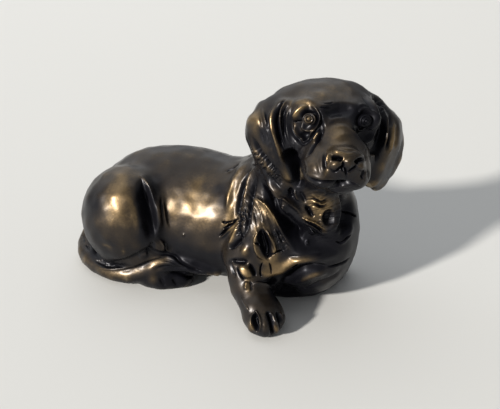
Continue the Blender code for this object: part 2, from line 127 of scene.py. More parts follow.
@dataclass(frozen=True)
class Mass:
    """An ellipsoid, blended into the forms before it over the distance reach."""

    centre: Triple
    radii: Triple
    turn: Triple = (0, 0, 0)
    reach: float = 6
    mirror: bool = False


@dataclass(frozen=True)
class Limb:
    """A tapered limb: a smooth path through points of x, y, z and radius."""

    path: Path
    reach: float = 4


class Laid:
    """A form laid in its place on the body."""

    reach: float
    bounds: list[tuple[np.ndarray, float]]

    def distance(self, points: np.ndarray) -> np.ndarray:
        """The distance of each point from the form's surface, negative inside."""
        raise NotImplementedError

    def rough(self, clay: bmesh.types.BMesh) -> None:
        """Adds the form's rough shape to the clay."""
        raise NotImplementedError


class LaidMass(Laid):
    """An ellipsoid in its place."""

    def __init__(self, mass: Mass, axes: Axes) -> None:
        """Lays a mass.

        Args:
            mass: The ellipsoid.
            axes: The axes that it is placed in.
        """
        self.reach = mass.reach
        self.radii = np.array(mass.radii, float)
        self.places = []
        x, y, z = mass.centre
        yaw, pitch, roll = mass.turn
        for side in (1, -1) if mass.mirror else (1,):
            self.places.append(axes.place((x, y * side, z), (yaw * side, pitch, roll * side)))
        self.bounds = [(np.array(place.translation), float(max(mass.radii))) for place in self.places]

    def distance(self, points: np.ndarray) -> np.ndarray:
        """Finds how far points are from the ellipsoid.

        Args:
            points: The points, one to a row.

        Returns:
            One distance for each point, negative inside.
        """
        best = np.full(len(points), 1e9)
        for place in self.places:
            back = np.array(place.inverted())
            local = points @ back[:3, :3].T + back[:3, 3]
            inner = np.linalg.norm(local / self.radii, axis=1)
            outer = np.linalg.norm(local / self.radii**2, axis=1)
            best = np.minimum(best, inner * (inner - 1) / np.maximum(outer, 1e-9))
        return best

    def rough(self, clay: bmesh.types.BMesh) -> None:
        """Adds the ellipsoid to the clay."""
        size = Matrix.Diagonal((*self.radii, 1))
        for place in self.places:
            bmesh.ops.create_uvsphere(clay, u_segments=24, v_segments=14, radius=1, matrix=place @ size)


class LaidLimb(Laid):
    """A limb in its place."""

    def __init__(self, limb: Limb, axes: Axes) -> None:
        """Lays a limb.

        Args:
            limb: The limb.
            axes: The axes that it is placed in.
        """
        self.reach = limb.reach
        line = smooth_path(np.array(limb.path, float), 4)
        matrix = np.array(axes.matrix())
        self.line = np.column_stack([line[:, :3] @ matrix[:3, :3].T + matrix[:3, 3], line[:, 3]])
        middle = (self.line[:, :3].min(0) + self.line[:, :3].max(0)) / 2
        radius = (np.linalg.norm(self.line[:, :3] - middle, axis=1) + self.line[:, 3]).max()
        self.bounds = [(middle, float(radius))]

    def distance(self, points: np.ndarray) -> np.ndarray:
        """Finds how far points are from the limb.

        Args:
            points: The points, one to a row.

        Returns:
            One distance for each point, negative inside.
        """
        best = np.full(len(points), 1e9)
        for start, end in zip(self.line[:-1], self.line[1:]):
            along = end[:3] - start[:3]
            t = np.clip((points - start[:3]) @ along / max(along @ along, 1e-9), 0, 1)
            gap = points - start[:3] - t[:, None] * along
            best = np.minimum(best, np.sqrt((gap * gap).sum(1)) - start[3] - t * (end[3] - start[3]))
        return best

    def rough(self, clay: bmesh.types.BMesh) -> None:
        """Adds a string of balls along the limb to the clay."""
        for x, y, z, radius in self.line:
            matrix = Matrix.Translation((x, y, z))
            bmesh.ops.create_icosphere(clay, subdivisions=2, radius=radius, matrix=matrix)


# Marks


class Section(Enum):
    """The section across a stroke."""

    ROUND = "round"
    FOLD = "fold"
    CRACK = "crack"


@dataclass(frozen=True)
class Stroke:
    """A line worked into the surface: raised where height is positive, cut where it is negative.

    A fold is raised on its left side and cut on its right side, as one layer lies over another.
    """

    path: Path
    width: float
    height: float
    section: Section = Section.ROUND
    fade: float = 0.3  # the share of its length over which each end thins out
    thinnest: float = 0.45  # the width at the ends, as a share of the full width
    turnover: float = 0.22  # how sharply a fold drops, as a share of its width

    def lift(self, drawn: np.ndarray) -> np.ndarray:
        """Finds how far the stroke moves each point.

        Args:
            drawn: Where the points lie in the drawing.

        Returns:
            The lift of each point, in steps.
        """
        line = smooth_path(np.array(self.path, float), 5)
        low, high = line.min(0) - 3 * self.width, line.max(0) + 3 * self.width
        near = ((drawn > low) & (drawn < high)).all(1)
        made = np.zeros(len(drawn))
        if near.any():
            made[near] = self.across(drawn[near], line)
        return made

    def across(self, drawn: np.ndarray, line: np.ndarray) -> np.ndarray:
        """Finds the lift of points near the stroke.

        Args:
            drawn: Where the points lie in the drawing.
            line: The stroke's smooth line.

        Returns:
            The lift of each point, in steps.
        """
        gap = np.full(len(drawn), 1e9)
        share = np.zeros(len(drawn))
        side = np.ones(len(drawn))
        lengths = np.linalg.norm(np.diff(line, axis=0), axis=1)
        starts = np.concatenate([[0], np.cumsum(lengths)])
        for i, (start, end) in enumerate(zip(line[:-1], line[1:])):
            along = end - start
            offset = drawn - start
            t = np.clip(offset @ along / max(along @ along, 1e-9), 0, 1)
            rest = offset - t[:, None] * along
            found = np.sqrt((rest * rest).sum(1))
            nearer = found < gap
            gap[nearer] = found[nearer]
            share[nearer] = (starts[i] + t * lengths[i])[nearer] / starts[-1]
            cross = along[0] * offset[:, 1] - along[1] * offset[:, 0]
            side[nearer] = np.where(cross < 0, 1, -1)[nearer]
        ends = np.minimum(share, 1 - share) / max(self.fade, 1e-6)
        strength = np.clip(ends, 0, 1) if self.fade else np.ones(len(drawn))
        width = self.width * (self.thinnest + (1 - self.thinnest) * strength)
        strength = strength * strength * (3 - 2 * strength)
        if self.section is Section.CRACK:
            return self.height * strength * np.clip(1 - gap / width, 0, 1)
        round_section = self.height * strength * np.exp(-((gap / width) ** 2))
        if self.section is Section.FOLD:
            return round_section * np.tanh(side * gap / (self.turnover * width))
        return round_section


@dataclass(frozen=True)
class Dab:
    """A round touch: a dome, or a pit where height is negative. A higher crisp gives it a sharper rim."""

    centre: Pair
    radii: Pair
    height: float
    turn: float = 0
    crisp: float = 2

    def local(self, drawn: np.ndarray) -> tuple[np.ndarray, np.ndarray]:
        """The points' places across and along the touch, where 1 is its radius."""
        x, y = drawn[:, 0] - self.centre[0], drawn[:, 1] - self.centre[1]
        c, s = math.cos(math.radians(self.turn)), math.sin(math.radians(self.turn))
        return (x * c + y * s) / self.radii[0], (y * c - x * s) / self.radii[1]

    def lift(self, drawn: np.ndarray) -> np.ndarray:
        """The lift of each point, in steps."""
        across, along = self.local(drawn)
        return self.height * np.exp(-(np.hypot(across, along) ** self.crisp))


@dataclass(frozen=True)
class Ring(Dab):
    """A raised or cut ring, whose line is width wide."""

    width: float = 1

    def lift(self, drawn: np.ndarray) -> np.ndarray:
        """The lift of each point, in steps."""
        across, along = self.local(drawn)
        gap = (np.hypot(across, along) - 1) * min(self.radii)
        return self.height * np.exp(-((gap / self.width) ** 2))


@dataclass(frozen=True)
class Ripples(Dab):
    """A patch of hand-drawn ripples that lie across the patch, spacing apart."""

    spacing: float = 5

    def lift(self, drawn: np.ndarray) -> np.ndarray:
        """The lift of each point, in steps."""
        across, along = self.local(drawn)
        u, v = across * self.radii[0], along * self.radii[1]
        phase = u / self.spacing + 0.35 * np.sin(v / (1.9 * self.spacing))
        phase += 0.2 * np.sin(v / self.spacing + u)
        fade = np.exp(-(np.hypot(across, along) ** 4))
        return self.height * np.sin(2 * math.pi * phase) * fade


@dataclass(frozen=True)
class Pits(Dab):
    """A patch of small pits, one in each cell of a loose grid of the given spacing."""

    spacing: float = 4
    size: float = 1

    def lift(self, drawn: np.ndarray) -> np.ndarray:
        """Finds how far the pits move each point.

        Args:
            drawn: Where the points lie in the drawing.

        Returns:
            The lift of each point, in steps.
        """
        across, along = self.local(drawn)
        fade = np.exp(-(np.hypot(across, along) ** 4))
        near = fade > 0.02
        made = np.zeros(len(drawn))
        grid = drawn[near] / self.spacing
        cell = np.floor(grid)
        deepest = np.zeros(len(grid))
        for dx in (-1, 0, 1):
            for dy in (-1, 0, 1):
                other = cell + (dx, dy)
                chance = np.abs(np.modf(np.sin(other @ (12.9898, 78.233)) * 43758.5453)[0])
                jitter = np.abs(np.modf(np.sin(other @ (39.346, 11.135)) * 24634.6345)[0])
                centre = other + np.column_stack([chance, jitter])
                gap = np.linalg.norm(grid - centre, axis=1) * self.spacing / (self.size * (0.6 + chance))
                deepest = np.maximum(deepest, np.exp(-(gap**2)))
        made[near] = self.height * deepest * fade[near]
        return made


Mark = Union[Stroke, Dab]


@dataclass(frozen=True)
class Stand:
    """The point that the surface is worked from, and the drawing in which the marks are placed."""

    azimuth: float
    elevation: float
    distance: float = 430
    target: Triple = (-4, 0, 36)
    scale: float = 1010
    centre: Pair = (250, 204.5)
    cell: float = 5  # grid cell in which the nearest surface is found
    grazing: float = 0.36  # how squarely a surface faces the stand before its marks have their full height
    hidden_depth: float = 7  # a surface this far behind the nearest one is hidden

    def back(self) -> np.ndarray:
        """The direction from the figure to the stand."""
        azimuth, elevation = math.radians(self.azimuth), math.radians(self.elevation)
        flat = math.cos(elevation)
        return np.array([math.sin(azimuth) * flat, -math.cos(azimuth) * flat, math.sin(elevation)])

    def eye(self) -> np.ndarray:
        """Where the stand is, in steps."""
        return np.array(self.target) + self.back() * self.distance

    def draw(self, points: np.ndarray) -> tuple[np.ndarray, np.ndarray]:
        """Draws points.

        Args:
            points: The points, in steps.

        Returns:
            Where each point lies in the drawing, and how far away it is.
        """
        back = self.back()
        azimuth = math.radians(self.azimuth)
        right = np.array([math.cos(azimuth), math.sin(azimuth), 0])
        sight = points - self.eye()
        depth = -(sight @ back)
        x = self.centre[0] + self.scale * (sight @ right) / depth
        y = self.centre[1] - self.scale * (sight @ np.cross(back, right)) / depth
        return np.column_stack([x, y]), depth

    def seen(self, points: np.ndarray, normals: np.ndarray) -> tuple[np.ndarray, np.ndarray]:
        """Draws points and says how well each is seen.

        Args:
            points: The points, in steps.
            normals: The surface's direction at each point.

        Returns:
            Where each point lies in the drawing, and from 0 for what faces away or is hidden to 1.
        """
        drawn, depth = self.draw(points)
        sight = self.eye() - points
        facing = (normals * sight).sum(1) / np.linalg.norm(sight, axis=1)
        cells = np.floor(drawn / self.cell).astype(int)
        cells -= cells.min(0)
        index = cells[:, 0] * (cells[:, 1].max() + 1) + cells[:, 1]
        front = facing > 0
        nearest = np.full(index.max() + 1, 1e9)
        np.minimum.at(nearest, index[front], depth[front])
        hidden = np.clip((depth - nearest[index]) / self.hidden_depth - 0.5, 0, 1)
        return drawn, np.clip(facing / self.grazing, 0, 1) * (1 - hidden)


NEAR_STAND = Stand(azimuth=16, elevation=29)
FAR_STAND = Stand(azimuth=200, elevation=25, target=(-4, 0, 40))


# The parts of the figure


class Part:
    """One part of the figure: the forms it is built from and the marks worked into it."""

    axes: Axes = Axes()

    def named(self, kinds: tuple[type, ...]) -> list[tuple[str, object]]:
        """The part's own fields of some kinds, in their order."""
        pairs = [(entry.name, getattr(self, entry.name)) for entry in fields(self)]
        return [(name, value) for name, value in pairs if isinstance(value, kinds)]

    def forms(self) -> list[Laid]:
        """The part's forms, laid in its axes."""
        laid: list[Laid] = []
        for _, form in self.named((Mass, Limb)):
            laid.append(LaidMass(form, self.axes) if isinstance(form, Mass) else LaidLimb(form, self.axes))
        return laid

    def marks(self) -> list[Mark]:
        """The marks worked into the part."""
        return [mark for _, mark in self.named((Stroke, Dab))]


@dataclass(frozen=True)
class Trunk(Part):
    """The long body with its hind legs and the tail that curls round them."""

    barrel: Mass = Mass((-19.5, 5.4, 25), (45, 25.3, 26), turn=(-4, 0, 0), reach=1)
    back: Mass = Mass((-36, 8, 33), (30, 18, 20.5), reach=8)
    rump: Mass = Mass((-47.5, 5, 22.8), (31, 22.5, 26.2), reach=9)
    right_thigh: Mass = Mass((-55.4, -10, 27.7), (21.3, 19.6, 23.2), turn=(-15, -9, 0), reach=3)
    left_thigh: Mass = Mass((-54, 15.5, 19), (21.5, 17, 19), turn=(-8, -8, 0), reach=3)
    right_hind_foot: Limb = Limb(((-49, -15, 4, 6), (-40, -17, 4, 6), (-31, -14, 3.5, 5)), reach=2)
    left_hind_foot: Limb = Limb(((-48, 24, 4, 6), (-38, 28, 4, 6), (-27, 28, 4, 5.5)), reach=2)
    right_knee: Mass = Mass((-40, -17, 15), (4, 4, 6), turn=(0, 20, 0), reach=3)
    tail: Limb = Limb(
        (
            (-72, 8, 12, 8),
            (-78, 1, 7, 6.5),
            (-77.5, -7, 5, 5.2),
            (-71, -14.5, 4.5, 4.5),
            (-62, -19, 4.5, 4.3),
            (-53, -20.5, 5, 4.2),
            (-44, -19.8, 8.5, 4),
            (-36, -18.8, 12.3, 3.8),
            (-28, -17.8, 12.8, 3.4),
            (-21, -17.2, 11.5, 2.8),
            (-14, -16.8, 10.5, 1.8),
        ),
        reach=2,
    )
    tail_seat: Mass = Mass((-66, -8, 2), (10, 9, 6.5), reach=2)
    flank_edge: Stroke = Stroke(
        ((138, 174), (144, 182), (150, 193), (154, 205), (156.5, 218), (157, 230), (154, 241)),
        4.5,
        1.5,
        Section.FOLD,
    )
    flank_lip: Stroke = Stroke(((137, 173), (143, 180), (148, 188), (152, 197), (155, 207)), 1.3, 0.6)
    thigh_front: Stroke = Stroke(((137, 180), (145, 196), (149, 213), (151, 229), (147, 244)), 8, -2.6)
    flank_fold: Stroke = Stroke(((160, 190), (158.5, 203), (159, 216), (163, 232)), 2.6, 0.6, fade=0.5)
    flank_second_fold: Stroke = Stroke(
        ((163, 193), (163.3, 205), (165, 217), (169, 232)), 1.5, 0.6, fade=0.5
    )
    flank_groove: Stroke = Stroke(
        ((165.5, 196), (166.5, 208), (168.5, 220), (172, 234)), 1.9, -0.5, fade=0.5
    )
    flank_first_groove: Stroke = Stroke(((161.5, 196), (161.2, 208), (162.5, 220)), 1.1, -0.4, fade=0.5)
    thigh_fullness: Dab = Dab((122, 194), (17, 15), 1.0)
    stifle: Dab = Dab((160, 246), (7.5, 6), 1.9, crisp=3)
    stifle_crease: Stroke = Stroke(((164, 241), (165.5, 247), (167, 251)), 1.2, -1.0)
    stifle_ridge: Stroke = Stroke(((157, 238), (161, 241), (168, 249), (178, 256)), 1.5, 0.9)
    stifle_side: Stroke = Stroke(((154, 241), (151, 248), (146, 252)), 2.2, -1.4)
    thigh_bump: Stroke = Stroke(((138, 259), (143, 256), (149, 253)), 2.0, 0.9)
    tail_root_line: Stroke = Stroke(((81, 229), (84, 238), (88, 247), (94, 254)), 1.4, -0.7)
    tail_valley: Stroke = Stroke(
        ((88, 253), (97, 261), (108, 264), (122, 263), (136, 258), (147, 252), (158, 251), (170, 253)),
        3.2,
        -1.7,
    )
    tail_top_edge: Stroke = Stroke(
        ((92, 263), (103, 268.5), (117, 269), (131, 266), (145, 260), (158, 256.5), (170, 257), (180, 263)),
        1.7,
        0.8,
    )
    tail_end_line: Stroke = Stroke(
        ((168, 252), (176, 257), (183, 264), (193, 269.5), (206, 272)), 1.8, -1.4
    )
    tail_middle_line: Stroke = Stroke(((160, 261), (170, 261), (178, 266), (186, 271)), 1.3, -0.5)
    tail_tip: Stroke = Stroke(((182, 267), (191, 271.5), (203, 273.5)), 1.6, 0.6)
    hind_foot_shade: Stroke = Stroke(
        ((150, 271), (162, 268), (176, 270), (190, 275), (204, 277)), 3.0, -1.8
    )
    hind_toe: Dab = Dab((153, 279), (5, 6), 0.9)
    hind_toe_gap: Stroke = Stroke(((160, 276), (162, 282), (166, 288)), 1.8, -0.9)
    hind_second_toe_gap: Stroke = Stroke(((172, 277), (175, 282), (178, 287)), 1.8, -0.8)
    tear: Stroke = Stroke(
        ((218.5, 237.5), (224, 232), (230, 225), (235, 220), (239, 217.5)), 1.7, -1.9, Section.CRACK
    )
    tear_lip: Stroke = Stroke(((218, 239), (226, 234), (232, 228), (236, 222)), 1.4, 0.8)
    tear_upper: Stroke = Stroke(
        ((220, 221.5), (225, 222.5), (229, 222), (233, 220)), 1.3, -1.5, Section.CRACK
    )
    tear_cross: Stroke = Stroke(((223, 229), (228, 226), (230, 222)), 1.1, -1.2, Section.CRACK)
    tear_flap: Dab = Dab((227.5, 226), (5, 4), 0.6, turn=-40)
    scratch: Stroke = Stroke(((202, 213), (207, 214), (212, 216)), 0.7, -0.3, Section.CRACK)
    back_crack: Stroke = Stroke(
        ((224, 172), (230, 170), (234, 168), (237, 165), (240, 163)), 1.1, -1.0, Section.CRACK
    )
    back_crack_lip: Stroke = Stroke(((226, 173.5), (233, 170.5), (239, 165.5)), 1.2, 0.4)
    flank_speck: Dab = Dab((183.5, 235), (1.2, 1.2), 0.5)


@dataclass(frozen=True)
class Breast(Part):
    """The deep chest, seen square on, that the head turns over."""

    axes: Axes = Axes((22, -4, 0), yaw=-48)
    chest: Mass = Mass((-1, 1, 30.5), (22, 21.5, 30.5), reach=14)


@dataclass(frozen=True)
class BreastFloor(Part):
    """The low front of the breast between the forelegs."""

    axes: Axes = Axes((22, -4, 0), yaw=-48)
    floor: Mass = Mass((-11, 2, 3), (15, 18, 10), reach=6)


@dataclass(frozen=True)
class Forequarters(Part):
    """The neck, the shoulder and the right foreleg with its paw."""

    neck: Limb = Limb(((2, 1, 40, 18), (15, -3, 54, 16), (27, -7, 68, 13)), reach=10)
    right_shoulder: Mass = Mass((5, -19, 27), (11, 9, 20), turn=(-20, 0, 0), reach=6)
    right_foreleg: Limb = Limb(((0, -20, 22, 9), (4, -26, 13, 8.5), (9, -33, 9, 7.5)), reach=5)
    right_paw: Mass = Mass((12.5, -36, 5), (9.5, 8.2, 6.5), turn=(-68, 0, 0), reach=4)


@dataclass(frozen=True)
class LeftForeleg(Part):
    """The left forearm, folded in under the breast."""

    forearm: Limb = Limb(
        ((31, 13, 9, 8.5), (29, 3, 7.5, 7.5), (21, -3.5, 6.5, 6.5), (12, -9.5, 6, 6)), reach=4
    )


@dataclass(frozen=True)
class Coat(Part):
    """The folds, furrows and cracks worked into the shoulder, the breast, the elbow and the paw."""

    neck_fold: Stroke = Stroke(
        ((254, 160), (244, 167.5), (236, 178), (231, 190), (228.5, 202), (226, 214)), 2.8, 1.2
    )
    neck_groove: Stroke = Stroke(
        ((254, 167), (247, 176), (242, 188), (239, 200), (236.5, 214), (232, 227)), 1.9, -1.7
    )
    shoulder_fold: Stroke = Stroke(
        ((260, 164), (253, 172), (248.5, 183), (246, 195), (243.5, 208)), 2.3, 1.2
    )
    shoulder_groove: Stroke = Stroke(
        ((259, 172), (255, 183), (252, 195), (249.5, 209), (247.5, 225), (244, 242)), 2.0, -1.6
    )
    seam: Stroke = Stroke(
        ((240, 204), (238.5, 212), (241, 219), (239, 227), (241, 235), (239.5, 243)),
        1.4,
        -1.6,
        Section.CRACK,
    )
    seam_pits: Pits = Pits((241, 224), (4, 22), -1.4, spacing=4, size=1.2)
    second_seam: Stroke = Stroke(
        ((246, 204), (245, 213), (246.5, 222), (245, 230)), 1.1, -1.0, Section.CRACK
    )
    seam_ridge: Stroke = Stroke(((237.5, 222), (235, 233), (231, 243), (227, 251)), 1.8, 1.1)
    seam_slot: Stroke = Stroke(((241, 239), (236, 244), (230, 250)), 1.8, -1.9)
    blade_ridge: Stroke = Stroke(
        ((252, 197), (261, 201), (268, 207), (273.5, 215), (279, 225), (285, 237), (291, 247), (297, 255)),
        3.0,
        1.9,
    )
    blade_inner: Dab = Dab((256, 216), (5, 9), -1.2, turn=-12)
    blade_top: Dab = Dab((256, 201), (6, 4), 0.8, turn=20)
    blade_groove: Stroke = Stroke(
        ((262, 177), (268, 190), (275, 203), (281, 214), (288, 226), (295, 238), (302, 249)), 5.2, -3.4
    )
    blade_line: Stroke = Stroke(
        ((260, 180), (266, 191), (271, 202), (275.5, 211)), 1.3, -1.2, Section.CRACK
    )
    collar_fold: Stroke = Stroke(
        ((263, 166), (268, 178), (277, 190), (288, 199), (297, 208), (303, 219)), 3.0, 2.4
    )
    collar_lip: Stroke = Stroke(((272, 187), (280, 194), (289, 199), (296, 205)), 1.8, 0.8)
    collar_pit: Stroke = Stroke(((291, 187), (290.5, 192), (292, 197)), 1.8, -1.4)
    collar_pleat: Stroke = Stroke(((295, 188), (296, 195), (300, 202)), 1.5, 0.8)
    breast_hollow: Dab = Dab((309, 241), (27, 14), -4.6, turn=18, crisp=3)
    hollow_top: Stroke = Stroke(((280, 212), (286, 222), (294, 232), (303, 240)), 5.5, -2.2)
    shoulder_hollow: Stroke = Stroke(((341, 192), (345, 205), (345, 220), (340, 234)), 4.5, -2.0)
    knob: Dab = Dab((283, 205), (5, 5.5), 1.6, crisp=3)
    hollow_ridge: Stroke = Stroke(((282, 203), (285, 210), (288, 217)), 1.8, 1.3)
    hollow_lump: Dab = Dab((312.5, 235), (3, 2.6), 2.0, turn=30)
    hollow_streak: Stroke = Stroke(((308, 229), (312, 232), (317, 238)), 1.1, 0.9)
    hollow_spot: Dab = Dab((307, 247), (2, 2.4), 1.0)
    ruff_swell: Dab = Dab((319, 202), (13, 13), 0.9, crisp=3)
    ruff_first_wave: Stroke = Stroke(((309, 196), (314, 194), (320, 197), (326, 195)), 1.5, 0.6)
    ruff_second_wave: Stroke = Stroke(((311, 203), (316, 200), (322, 203), (328, 200)), 1.5, 0.6)
    ruff_third_wave: Stroke = Stroke(((311, 209), (315, 206.5), (320, 209), (325, 207)), 1.5, 0.55)
    ruff_first_trough: Stroke = Stroke(
        ((309, 199.5), (315, 197.5), (321, 200), (328, 197.5)), 1.1, -0.8
    )
    ruff_second_trough: Stroke = Stroke(((311, 206), (316, 203.5), (321, 206), (327, 203.5)), 1.1, -0.8)
    ruff_edge: Stroke = Stroke(
        ((336, 189), (338.5, 199), (340.5, 209), (339, 219), (334, 227), (326, 230), (318, 227)), 2.4, 1.15
    )
    ruff_outer_line: Stroke = Stroke(
        ((337, 190), (342, 201), (344, 214), (341, 226), (333, 234)), 2.2, -1.6
    )
    ruff_pit: Dab = Dab((328, 217.5), (4.6, 7), -2.3, crisp=3)
    ruff_pit_rim: Ring = Ring((328, 217.5), (7, 9.5), 0.5, width=1.5)
    ruff_lock: Stroke = Stroke(((300, 217), (308, 220), (317, 224), (327, 232)), 1.5, 1.2)
    ruff_lock_groove: Stroke = Stroke(((301, 220.5), (309, 223), (318, 228), (326, 235)), 1.1, -1.2)
    ruff_second_lock: Stroke = Stroke(((303, 224), (312, 227), (320, 233), (327, 239)), 1.4, 0.8)
    ruff_gap: Stroke = Stroke(((304, 205), (308, 209), (311, 214), (314, 218)), 2.0, -1.9)
    ruff_side: Stroke = Stroke(((299, 191), (303, 197), (306, 203)), 1.8, -1.0)
    notch: Stroke = Stroke(
        ((346, 211), (350, 212), (353, 214), (356, 217)), 1.3, -2.0, Section.CRACK, 0.1
    )
    left_shoulder_fold: Stroke = Stroke(
        ((347, 191), (348, 203), (348, 216), (345, 228), (338, 238)), 3.4, -1.6
    )
    left_shoulder_crease: Stroke = Stroke(
        ((335, 241), (341, 243), (346, 238), (351, 233)), 1.2, -1.3, Section.CRACK
    )
    left_shoulder_crest: Stroke = Stroke(((352, 219), (351, 229), (345, 240), (338, 247)), 2.4, 0.6)
    leaf_slot: Dab = Dab((264.8, 244.5), (5.0, 14), -3.6, turn=-16, crisp=5)
    leaf_vein: Stroke = Stroke(((262.5, 231), (265, 240), (268, 249), (266.5, 257)), 1.1, 1.9, fade=0.1)
    leaf_left_rim: Stroke = Stroke(
        ((260, 229), (255.5, 238), (255.5, 248), (260, 257), (266, 261)), 1.7, 1.2
    )
    leaf_right_rim: Stroke = Stroke(((265, 228), (271, 238), (275, 248), (272, 257)), 1.7, 1.1)
    leaf_side_band: Stroke = Stroke(((273, 226), (278, 238), (283, 250)), 1.6, 0.5)
    leaf_notch: Stroke = Stroke(((254, 242), (257.5, 244), (259, 247)), 1.0, -1.4, Section.CRACK)
    speckled_side: Pits = Pits((280, 240), (5, 14), -0.5, turn=-24, spacing=3, size=0.9)
    breast_roll: Stroke = Stroke(
        ((257, 275), (268, 274), (280, 270), (290, 264), (301, 259.5), (316, 258), (332, 257), (346, 251)),
        4.6,
        1.7,
    )
    breast_crease: Stroke = Stroke(
        ((256, 282), (270, 281.5), (284, 278), (294, 272), (304, 267.5), (318, 266.5), (334, 267)),
        3.0,
        -2.8,
    )
    breast_second_crease: Stroke = Stroke(
        ((326, 268), (334, 266), (343, 263), (351, 257)), 1.3, -1.8, Section.CRACK
    )
    breast_upper_line: Stroke = Stroke(((284, 256), (297, 257), (310, 256), (326, 254)), 1.5, -0.7)
    first_crack: Stroke = Stroke(
        ((266, 261), (270, 257), (275, 253), (280, 251), (286, 251)), 1.2, -1.7, Section.CRACK
    )
    second_crack: Stroke = Stroke(
        ((263, 262), (260.5, 268), (260.5, 274), (262, 278)), 1.1, -1.6, Section.CRACK
    )
    third_crack: Stroke = Stroke(((290, 269), (294, 266), (299, 262)), 1.2, -1.6, Section.CRACK)
    fourth_crack: Stroke = Stroke(((269, 262), (271, 269), (270.5, 275)), 0.9, -0.9, Section.CRACK)
    left_forearm: Stroke = Stroke(((293, 285), (304, 279), (316, 274), (330, 271)), 3.4, 1.3)
    left_forearm_line: Stroke = Stroke(((300, 290), (316, 284), (332, 277), (343, 268)), 1.6, -0.8)
    under_breast: Stroke = Stroke(((268, 288), (280, 288), (294, 290), (310, 290)), 4.0, -1.8)
    elbow_knuckle: Dab = Dab((245.5, 252), (4.6, 6), 1.2, turn=12, crisp=2.5)
    elbow_groove: Stroke = Stroke(((229, 260), (238, 262), (249, 262)), 2.4, -1.8)
    elbow_plate: Dab = Dab((245.5, 271.5), (5, 8.2), 1.5, turn=-42, crisp=5)
    elbow_plate_side: Stroke = Stroke(((249, 263), (252.5, 270), (256, 277)), 1.3, -1.8)
    elbow_plate_back: Stroke = Stroke(((237, 266), (240, 273), (245, 281)), 1.2, -1.2)
    elbow_back: Stroke = Stroke(((229, 258), (231, 268), (236, 279)), 1.8, -1.2)
    elbow_hair: Stroke = Stroke(((246.5, 280), (246.5, 285), (245.5, 291)), 1.9, 1.0)
    elbow_second_hair: Stroke = Stroke(((250, 280), (251, 286), (250.5, 292)), 1.1, -0.8)
    foreleg_ridge: Stroke = Stroke(((252, 284), (261, 283), (271, 285)), 1.4, 0.9)
    foreleg_hollow: Dab = Dab((262, 295), (10, 8), -1.2)
    foreleg_line: Stroke = Stroke(((241, 297), (246, 305), (250, 313)), 1.2, 0.6)
    paw_ring: Stroke = Stroke(
        (
            (256, 311.5), (252.8, 316), (252.5, 322), (254.5, 328), (258, 331.5), (260.5, 327), (260, 319),
            (256, 311.5),
        ),
        1.2,
        0.9,
        fade=0,
    )
    paw_pit: Dab = Dab((256.2, 321.5), (2.9, 8.5), -2.4, turn=-8, crisp=4)
    paw_pit_ridge: Stroke = Stroke(((255, 316), (256.5, 322), (258, 329)), 0.8, 1.0)
    second_toe_gap: Stroke = Stroke(
        ((267, 311), (270, 320), (272, 328), (273, 337)), 1.5, -2.2, fade=0.1
    )
    second_toe_ridge: Stroke = Stroke(((271, 312), (274, 320), (276, 326)), 1.2, 0.9)
    third_toe_gap: Stroke = Stroke(((277, 311), (279.5, 320), (281, 330)), 1.3, -1.8, fade=0.1)
    third_toe_ridge: Stroke = Stroke(((280.5, 311), (282, 319), (283, 325)), 1.0, 0.8)
    last_toe_gap: Stroke = Stroke(((284.5, 313), (283.5, 323), (285, 332)), 1.1, -1.6, fade=0.1)
    first_toe: Dab = Dab((251, 327), (3.2, 7), 0.8)
    second_toe: Dab = Dab((265, 327), (3.6, 9), 0.9)
    third_toe: Dab = Dab((276.5, 330), (2.8, 5), 0.9)
    coat_ripples: Ripples = Ripples((262, 222), (16, 40), 0.16, turn=-24, spacing=4.6)
    breast_ripples: Ripples = Ripples((322, 214), (30, 26), 0.14, turn=64, spacing=4.2)


@dataclass(frozen=True)
class Ear(Part):
    """One hanging ear: the crown it grows from, its flap, its front ridge and its turned rim."""

    crown: Mass
    flap: Mass
    front: Limb
    rim: Limb
    axes: Axes = Axes((30.5, -8.5, 79), yaw=-68, pitch=4, roll=-6)


RIGHT_EAR = Ear(
    crown=Mass((-4, -12, 0.5), (11, 18, 15), turn=(0, 0, 14), reach=8),
    flap=Mass((-1, -23.5, -10), (10, 4.2, 15), turn=(27, 0, 22), reach=6),
    front=Limb(
        (
            (4, -19, 10, 3), (5.5, -21.5, 5, 2.6), (6.5, -20.5, 0, 2.5), (6.5, -18, -7, 2.6),
            (6, -14, -17, 2.8),
        ),
        reach=2.5,
    ),
    rim=Limb(
        (
            (-6, -25, 4, 3), (-7, -28.5, -4, 2.5), (-5, -26.5, -11, 2.4), (-2, -22, -17, 2.5),
            (2, -16, -22.5, 2.9),
        ),
        reach=2.5,
    ),
)
LEFT_EAR = Ear(
    crown=Mass((-4, 9.5, 0.5), (11, 18, 15), turn=(0, 0, -14), reach=8),
    flap=Mass((-1, 24.5, -9.5), (10.5, 4.2, 15), turn=(-27, 0, -7), reach=6),
    front=Limb(
        ((4, 17, 9, 3), (5.5, 19.5, 4, 2.6), (6.5, 20, -2, 2.5), (6.5, 19.5, -10, 2.6), (6, 18, -18, 2.8)),
        reach=2.5,
    ),
    rim=Limb(
        (
            (-6, 23.5, 4, 3), (-7, 29, -3, 2.5), (-7, 30.5, -11, 2.5), (-6, 28.2, -17.5, 2.8),
            (-2, 22.5, -21.5, 3.2),
        ),
        reach=2.5,
    ),
)


@dataclass(frozen=True)
class Skull(Part):
    """The skull that the ears hang from."""

    axes: Axes = Axes((30.5, -8.5, 79), yaw=-68, pitch=4, roll=-6)
    skull: Mass = Mass((-2, 0, 1), (20, 18, 18), reach=8)


